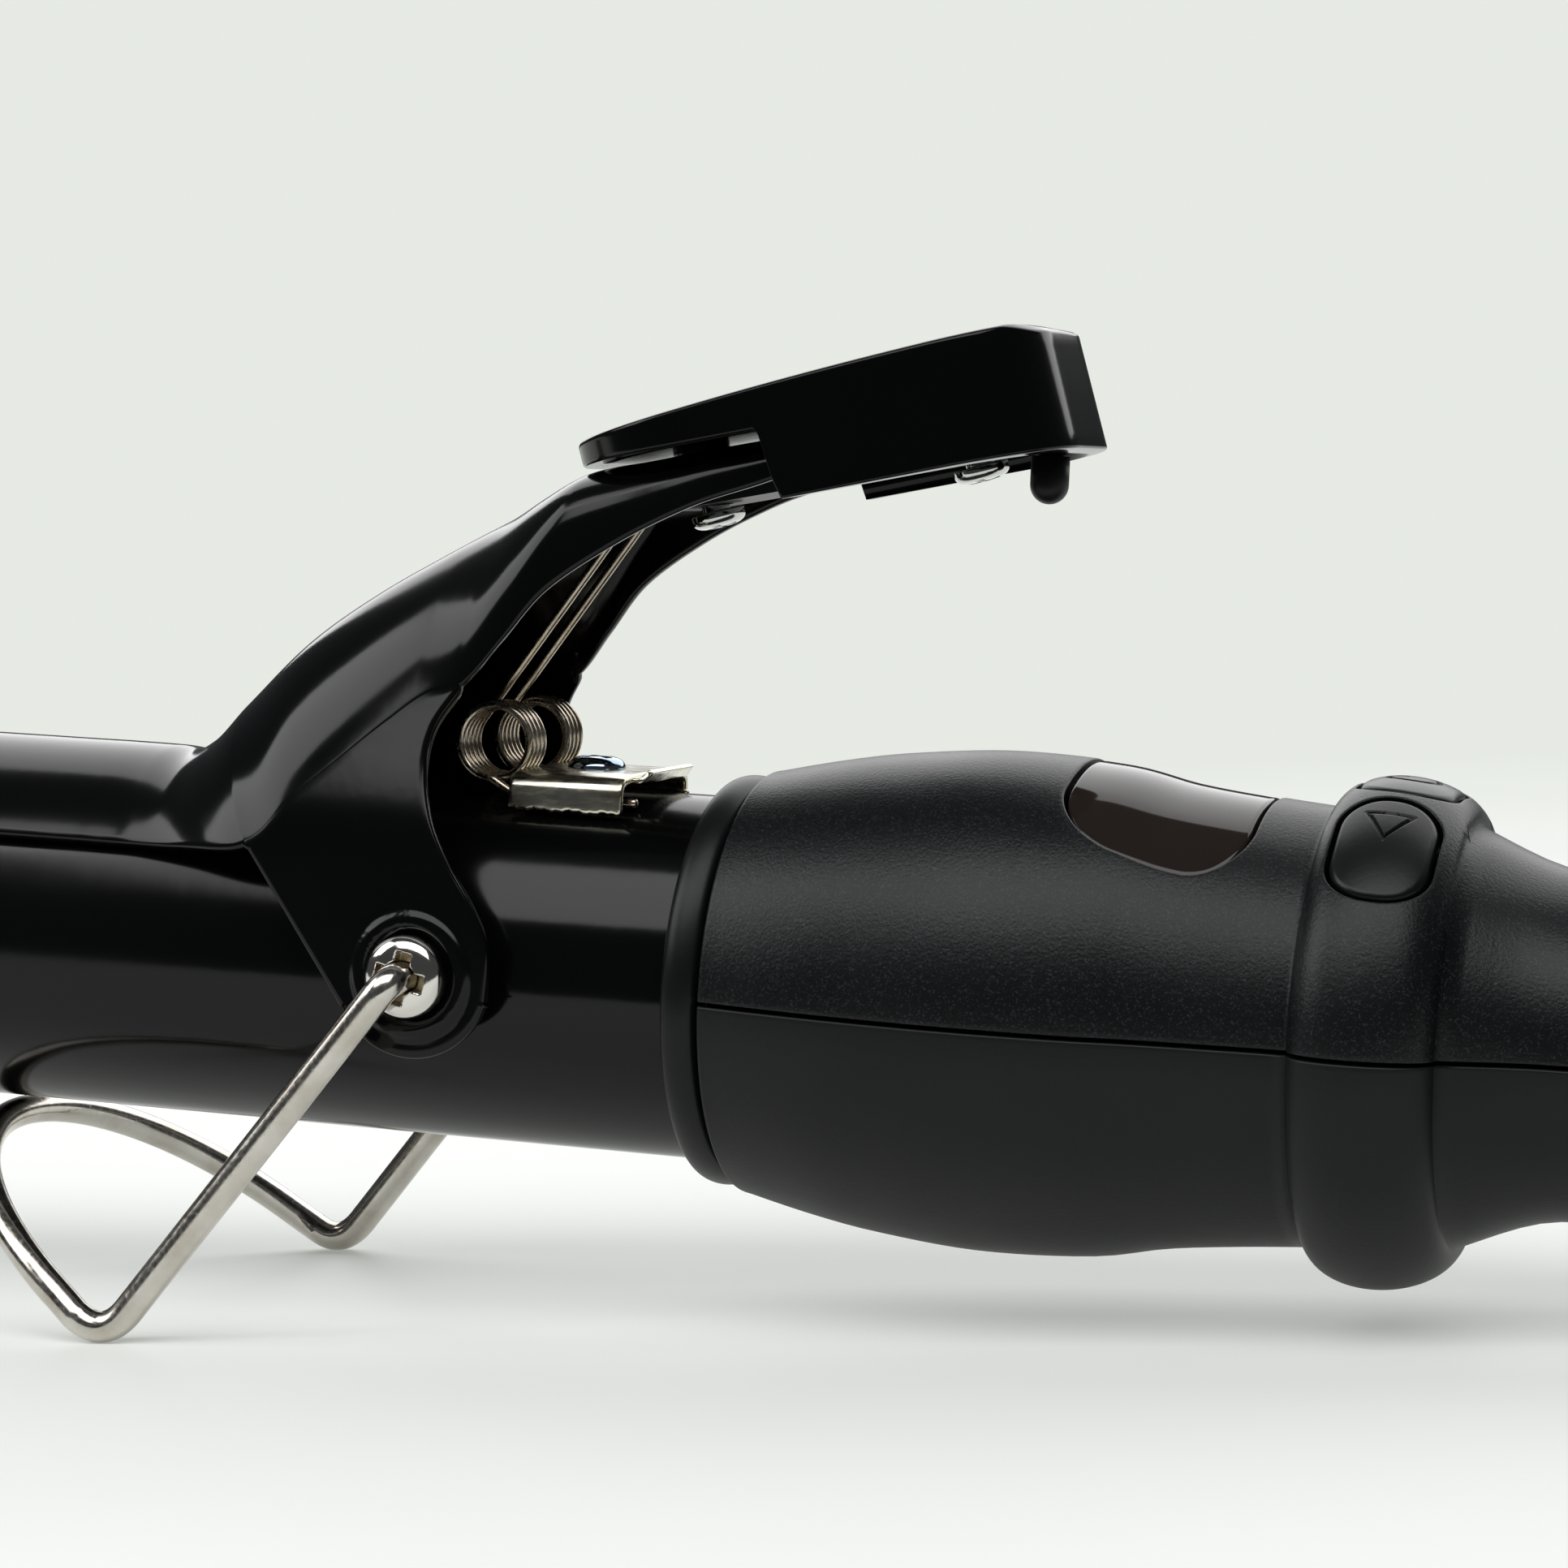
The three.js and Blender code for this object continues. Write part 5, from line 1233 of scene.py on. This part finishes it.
class IRON_OT_clamp(bpy.types.Operator):
    """Builds the clamp's bent sheet, from the spoon over the arch to the lever, with its ears"""

    bl_idname = "iron.clamp"
    bl_label = "Clamp"

    def execute(self, context):
        surface = clamp_surface(context.scene.iron_shapes.boss)
        new_piece("clamp_sheet", surface, "enamel", "clamp", ["clamp"])
        return {"FINISHED"}


class IRON_OT_thumb_rest(bpy.types.Operator):
    """Builds the thumb rest with its screws, the stop pin and the lever's rivet"""

    bl_idname = "iron.thumb_rest"
    bl_label = "Thumb rest"

    def execute(self, context):
        edge = context.scene.iron_shapes.edge
        screws = (("front", 7.5), ("rear", 28.6))
        surface = join(pad_surface(edge), *(boss_surface(u) for _, u in screws))
        new_piece("thumb_pad", surface, "gloss", "clamp", ["thumb_rest"])
        down = in_pad(0, -1) - in_pad(0, 0)
        for name, u in screws:
            seat = in_pad(u, PLATE_UNDER - PLATE_SLOPE * (u - PLATE_START))
            head = screw_head(seat, down, radius=2.1, height=1.1, reach=1.2, blade=0.26, depth=0.6)
            node = f"thumb_rest_screw_{name}"
            stem = (seat, down, 1.1, 5)
            make_screw(f"pad_screw_{name}", "steel", "clamp", node, head, stem)
        low, high = span("bumper_pin")
        x = (low[0] + high[0]) / 2
        angle = np.linspace(0, math.pi / 2, 12)
        radius, stem = 1.45, 0.9
        nose = np.stack([radius * (1 - np.cos(angle)), radius * np.sin(angle)], -1)
        profile = np.vstack([nose, [(3.6, radius), (3.6, stem), (5.8, stem), (5.8, 0)]])
        pin = lathe(profile, (x, 0, low[2]), (0, 0, 1), 48)
        new_piece("stop_pin", pin, "rubber", "clamp", ["bumper_pin"])
        seat = in_pad(2.9, -lip(2.9) - GAP - SHEET - GAP)
        head = screw_head(seat, down, radius=2.1, height=0.9, reach=0.1, blade=0.01, depth=0.0)
        make_screw("rivet", "steel", "clamp", "lever_rivet", head, (seat, down, 0.9, 1))
        return {"FINISHED"}


class IRON_OT_spring(bpy.types.Operator):
    """Builds the lever spring, the bracket over its feet and the bracket's screw"""

    bl_idname = "iron.spring"
    bl_label = "Spring and bracket"

    def execute(self, context):
        new_piece("spring", spring_surface(), "spring", "iron", ["lever_spring"])
        new_piece("bracket", bracket_surface(), "bracket", "iron", ["spring_bracket"])
        seat = (8, 0, BARREL_RADIUS + GAP + 0.8)
        cross = dict(reach=1.35, blade=0.28, depth=0.75, turn=0.5)
        head = screw_head(seat, (0, 0, 1), radius=2.25, height=1.4, **cross)
        stem = (seat, (0, 0, 1), 1.3, 4)
        make_screw("bracket_bolt", "zinc", "iron", "bracket_screw", head, stem)
        return {"FINISHED"}


class IRON_OT_stand(bpy.types.Operator):
    """Builds the wire stand and the two pivot screws that its ends hook into"""

    bl_idname = "iron.stand"
    bl_label = "Stand"

    def execute(self, context):
        wire = context.scene.iron_shapes.wire
        new_piece("stand_wire", stand_surface(wire), "nickel", "stand", ["wire_stand"])
        for name, side in (("near", -1), ("far", 1)):
            seat = (0, side * (EAR_OUTER + GAP), PIVOT_HEIGHT)
            cross = dict(reach=1.95, blade=0.62, depth=1.3, turn=0.2, socket=1.25)
            head = screw_head(seat, (0, side, 0), radius=3.15, height=2.0, **cross)
            stem = (seat, (0, side, 0), 1.9, 7)
            make_screw(f"pivot_{name}", "head", "iron", f"pivot_screw_{name}", head, stem)
        return {"FINISHED"}


class IRON_OT_handle(bpy.types.Operator):
    """Builds the handle's two shells and the swivel"""

    bl_idname = "iron.handle"
    bl_label = "Handle"

    def execute(self, context):
        shapes = context.scene.iron_shapes
        upper = shell_surface(1, shapes.edge, shapes.parting)
        lower = shell_surface(-1, shapes.edge, shapes.parting)
        new_piece("upper_shell", upper, "sparkle", "iron", ["handle_upper_shell"])
        new_piece("lower_shell", lower, "matte", "iron", ["handle_lower_shell"])
        new_piece("swivel_nose", swivel_surface(), "satin", "swivel", ["swivel_bush"])
        return {"FINISHED"}


class IRON_OT_display(bpy.types.Operator):
    """Builds the smoked window over the display"""

    bl_idname = "iron.display"
    bl_label = "Display window"

    def execute(self, context):
        half = (LENS_HALF[0] - GAP, LENS_HALF[1] - GAP)

        def droop(u, v):
            """The window's ends bend down a little more than the handle's skin."""
            return 0.55 * smooth(7, 13, np.abs(v))

        surface = filled_patch(0.0, LENS_CENTRE, half, LENS_CORNER - GAP, 0.12, 0.3, 1.2, droop)
        new_piece("window", surface, "lens", "iron", ["display_lens"])
        return {"FINISHED"}


class IRON_OT_buttons(bpy.types.Operator):
    """Builds the three buttons, with an arrow in the outer two and a ring and bar in the middle one"""

    bl_idname = "iron.buttons"
    bl_label = "Buttons"

    def execute(self, context):
        depth = context.scene.iron_shapes.mark_depth
        half = (BUTTON_HALF[0] - GAP, BUTTON_HALF[1] - GAP)

        def arrow(middle):
            """A small triangle at one end of the button, a groove along its outline."""
            return lambda u, v: depth * (1 - smooth(0.07, 0.17, np.abs(triangle(u, middle - v, ARROW_SIZE))))

        def ring_and_bar(u, v):
            """A ring with a gap at one end and a bar across the gap."""
            r = np.abs(np.hypot(u, v) - 1.9)
            open_part = (np.abs(v) < 0.7) & (u < 0)
            ring = np.where(open_part, 0, 1 - smooth(0.14, 0.26, r))
            bar = 1 - smooth(0.14, 0.26, np.hypot(v, u + 1.6 - np.clip(u + 1.6, -1.1, 1.1)))
            return depth * np.maximum(ring, bar)

        marks = (
            ("up", BUTTON_TURN, arrow(-ARROW_MIDDLE)),
            ("power", 0.0, ring_and_bar),
            ("down", -BUTTON_TURN, arrow(ARROW_MIDDLE)),
        )
        for name, turn, mark in marks:
            surface = filled_patch(turn, COLLAR_MIDDLE, half, BUTTON_CORNER - GAP, 0.05, 0.4, 0.9, mark)
            node = f"button_{name}"
            new_piece(f"{node}_cap", surface, "satin", node, [node])
        return {"FINISHED"}


class IRON_OT_stage(bpy.types.Operator):
    """Makes the camera, the table, the lights and the pale room"""

    bl_idname = "iron.stage"
    bl_label = "Stage"

    def execute(self, context):
        stage = context.scene.iron_stage
        camera_data = bpy.data.cameras.new("camera")
        camera_data.lens = stage.lens
        camera_data.sensor_width = 36
        camera_data.clip_start = 0.01
        camera = bpy.data.objects.new("camera", camera_data)
        yaw, pitch, roll = stage.yaw, stage.pitch, stage.roll
        level = np.array((math.cos(yaw), math.sin(yaw), 0))
        ahead = np.array((-math.sin(yaw), math.cos(yaw), 0))
        forward = math.cos(pitch) * ahead - math.sin(pitch) * np.array((0, 0, 1))
        above = np.cross(level, forward)
        right = math.cos(roll) * level + math.sin(roll) * above
        upward = -math.sin(roll) * level + math.cos(roll) * above
        axes = AXES.T @ np.stack([right, upward, -forward], -1)
        camera.matrix_world = upright(place(CAMERA_PLACE), axes)
        context.scene.collection.objects.link(camera)
        context.scene.camera = camera

        material, tree, shader = finish("table_paint_and_glow", stage.floor, 0.5, specular=0.3)
        tree.links.new(remap(tree, noise(tree, 9, 3), 0.3, 0.7, 0.42, 0.6), shader.inputs["Roughness"])
        # painted light: the table is partly an emission in the backdrop's colour, 0.35 of it within 0.3 m of its
        # origin and all of it from 0.8 m out, which lifts its shadows and fades it into the backdrop
        away = add_node(tree, "ShaderNodeVectorMath", {0: coordinates(tree)}, operation="LENGTH")
        share = remap(tree, away.outputs["Value"], 0.3, 0.8, 0.35, 1)
        glow = add_node(tree, "ShaderNodeEmission", {"Color": (*stage.backdrop, 1)})
        ends = {1: shader.outputs["BSDF"], 2: glow.outputs["Emission"]}
        blend = add_node(tree, "ShaderNodeMixShader", {"Fac": share, **ends})
        tree.links.new(blend.outputs["Shader"], tree.nodes["Material Output"].inputs["Surface"])
        mesh = bpy.data.meshes.new("table")
        side, front = 12.0, -0.15
        corners = [(-side, front, 0), (side, front, 0), (side, side, 0), (-side, side, 0)]
        mesh.from_pydata(corners, [], [(0, 1, 2, 3)])
        mesh.materials.append(material)
        table = bpy.data.objects.new("table", mesh)
        context.scene.collection.objects.link(table)
        self.add_room(context, stage)
        self.add_lights(context, stage)
        context.scene.view_settings.view_transform = "Standard"
        return {"FINISHED"}

    def add_room(self, context, stage):
        """A pale backdrop to the eye, and a dim room to everything else."""
        world = bpy.data.worlds.new("room")
        context.scene.world = world
        world.use_nodes = True
        tree = world.node_tree
        seen = tree.nodes["Background"]
        seen.inputs["Color"].default_value = (*stage.backdrop, 1)
        color = (0.93, 0.97, 1.0, 1)
        lit = add_node(tree, "ShaderNodeBackground", {"Color": color, "Strength": stage.room})
        path = add_node(tree, "ShaderNodeLightPath", {})
        ends = {1: lit.outputs["Background"], 2: seen.outputs["Background"]}
        mix = add_node(tree, "ShaderNodeMixShader", {"Fac": path.outputs["Is Camera Ray"], **ends})
        tree.links.new(mix.outputs["Shader"], tree.nodes["World Output"].inputs["Surface"])

    def add_lights(self, context, stage):
        """A wide softbox above and behind the camera, one at its left, and a window behind the table."""
        lights = (
            ("softbox", (0.15, -0.68, 1.12), (1.7, 0.9), stage.softbox, (0.0, 0.0, 0.03)),
            ("side_box", (-0.95, -0.45, 0.8), (0.75, 0.75), stage.softbox * 0.4, (0.0, 0.0, 0.03)),
            ("window", (0.0, 1.2, 1.05), (2.6, 1.7), stage.softbox * 1.7, (0.0, 0.0, 0.0)),
        )
        for name, position, size, power, target in lights:
            data = bpy.data.lights.new(name, "AREA")
            data.shape = "RECTANGLE"
            data.size, data.size_y = size
            data.energy = power
            light = bpy.data.objects.new(name, data)
            look = np.array(target) - np.array(position)
            z = -unit(look)
            x = unit(np.cross((0.0, 1.0, 0.0) if abs(z[2]) > 0.9 else (0.0, 0.0, 1.0), z))
            light.matrix_world = upright(position, np.stack([x, np.cross(z, x), z], -1))
            context.scene.collection.objects.link(light)


class IRON_PT_panel(bpy.types.Panel):
    """Lists the iron's settings and pieces in the 3D view's sidebar"""

    bl_idname = "IRON_PT_panel"
    bl_label = "Curling iron"
    bl_space_type = "VIEW_3D"
    bl_region_type = "UI"
    bl_category = "Iron"

    def draw(self, context):
        scene = context.scene
        for group in (scene.iron_finishes, scene.iron_shapes, scene.iron_stage):
            box = self.layout.box()
            for key in group.__annotations__:
                box.prop(group, key)
        for operator in OPERATORS:
            self.layout.operator(operator.bl_idname)


GROUPS = (IronFinishes, IronShapes, IronStage)
OPERATORS = (
    IRON_OT_finishes,
    IRON_OT_stage,
    IRON_OT_barrel,
    IRON_OT_clamp,
    IRON_OT_thumb_rest,
    IRON_OT_spring,
    IRON_OT_stand,
    IRON_OT_handle,
    IRON_OT_display,
    IRON_OT_buttons,
)


def register():
    """Registers the classes and hangs the settings on the scene."""
    for cls in (*GROUPS, *OPERATORS, IRON_PT_panel):
        bpy.utils.register_class(cls)
    bpy.types.Scene.iron_finishes = PointerProperty(type=IronFinishes)
    bpy.types.Scene.iron_shapes = PointerProperty(type=IronShapes)
    bpy.types.Scene.iron_stage = PointerProperty(type=IronStage)


def unregister():
    """Takes the settings and the classes away again."""
    del bpy.types.Scene.iron_finishes, bpy.types.Scene.iron_shapes, bpy.types.Scene.iron_stage
    for cls in reversed((*GROUPS, *OPERATORS, IRON_PT_panel)):
        bpy.utils.unregister_class(cls)


def main():
    """Builds every piece in turn."""
    register()
    for operator in OPERATORS:
        group, name = operator.bl_idname.split(".")
        getattr(getattr(bpy.ops, group), name)()


if __name__ == "__main__":
    main()
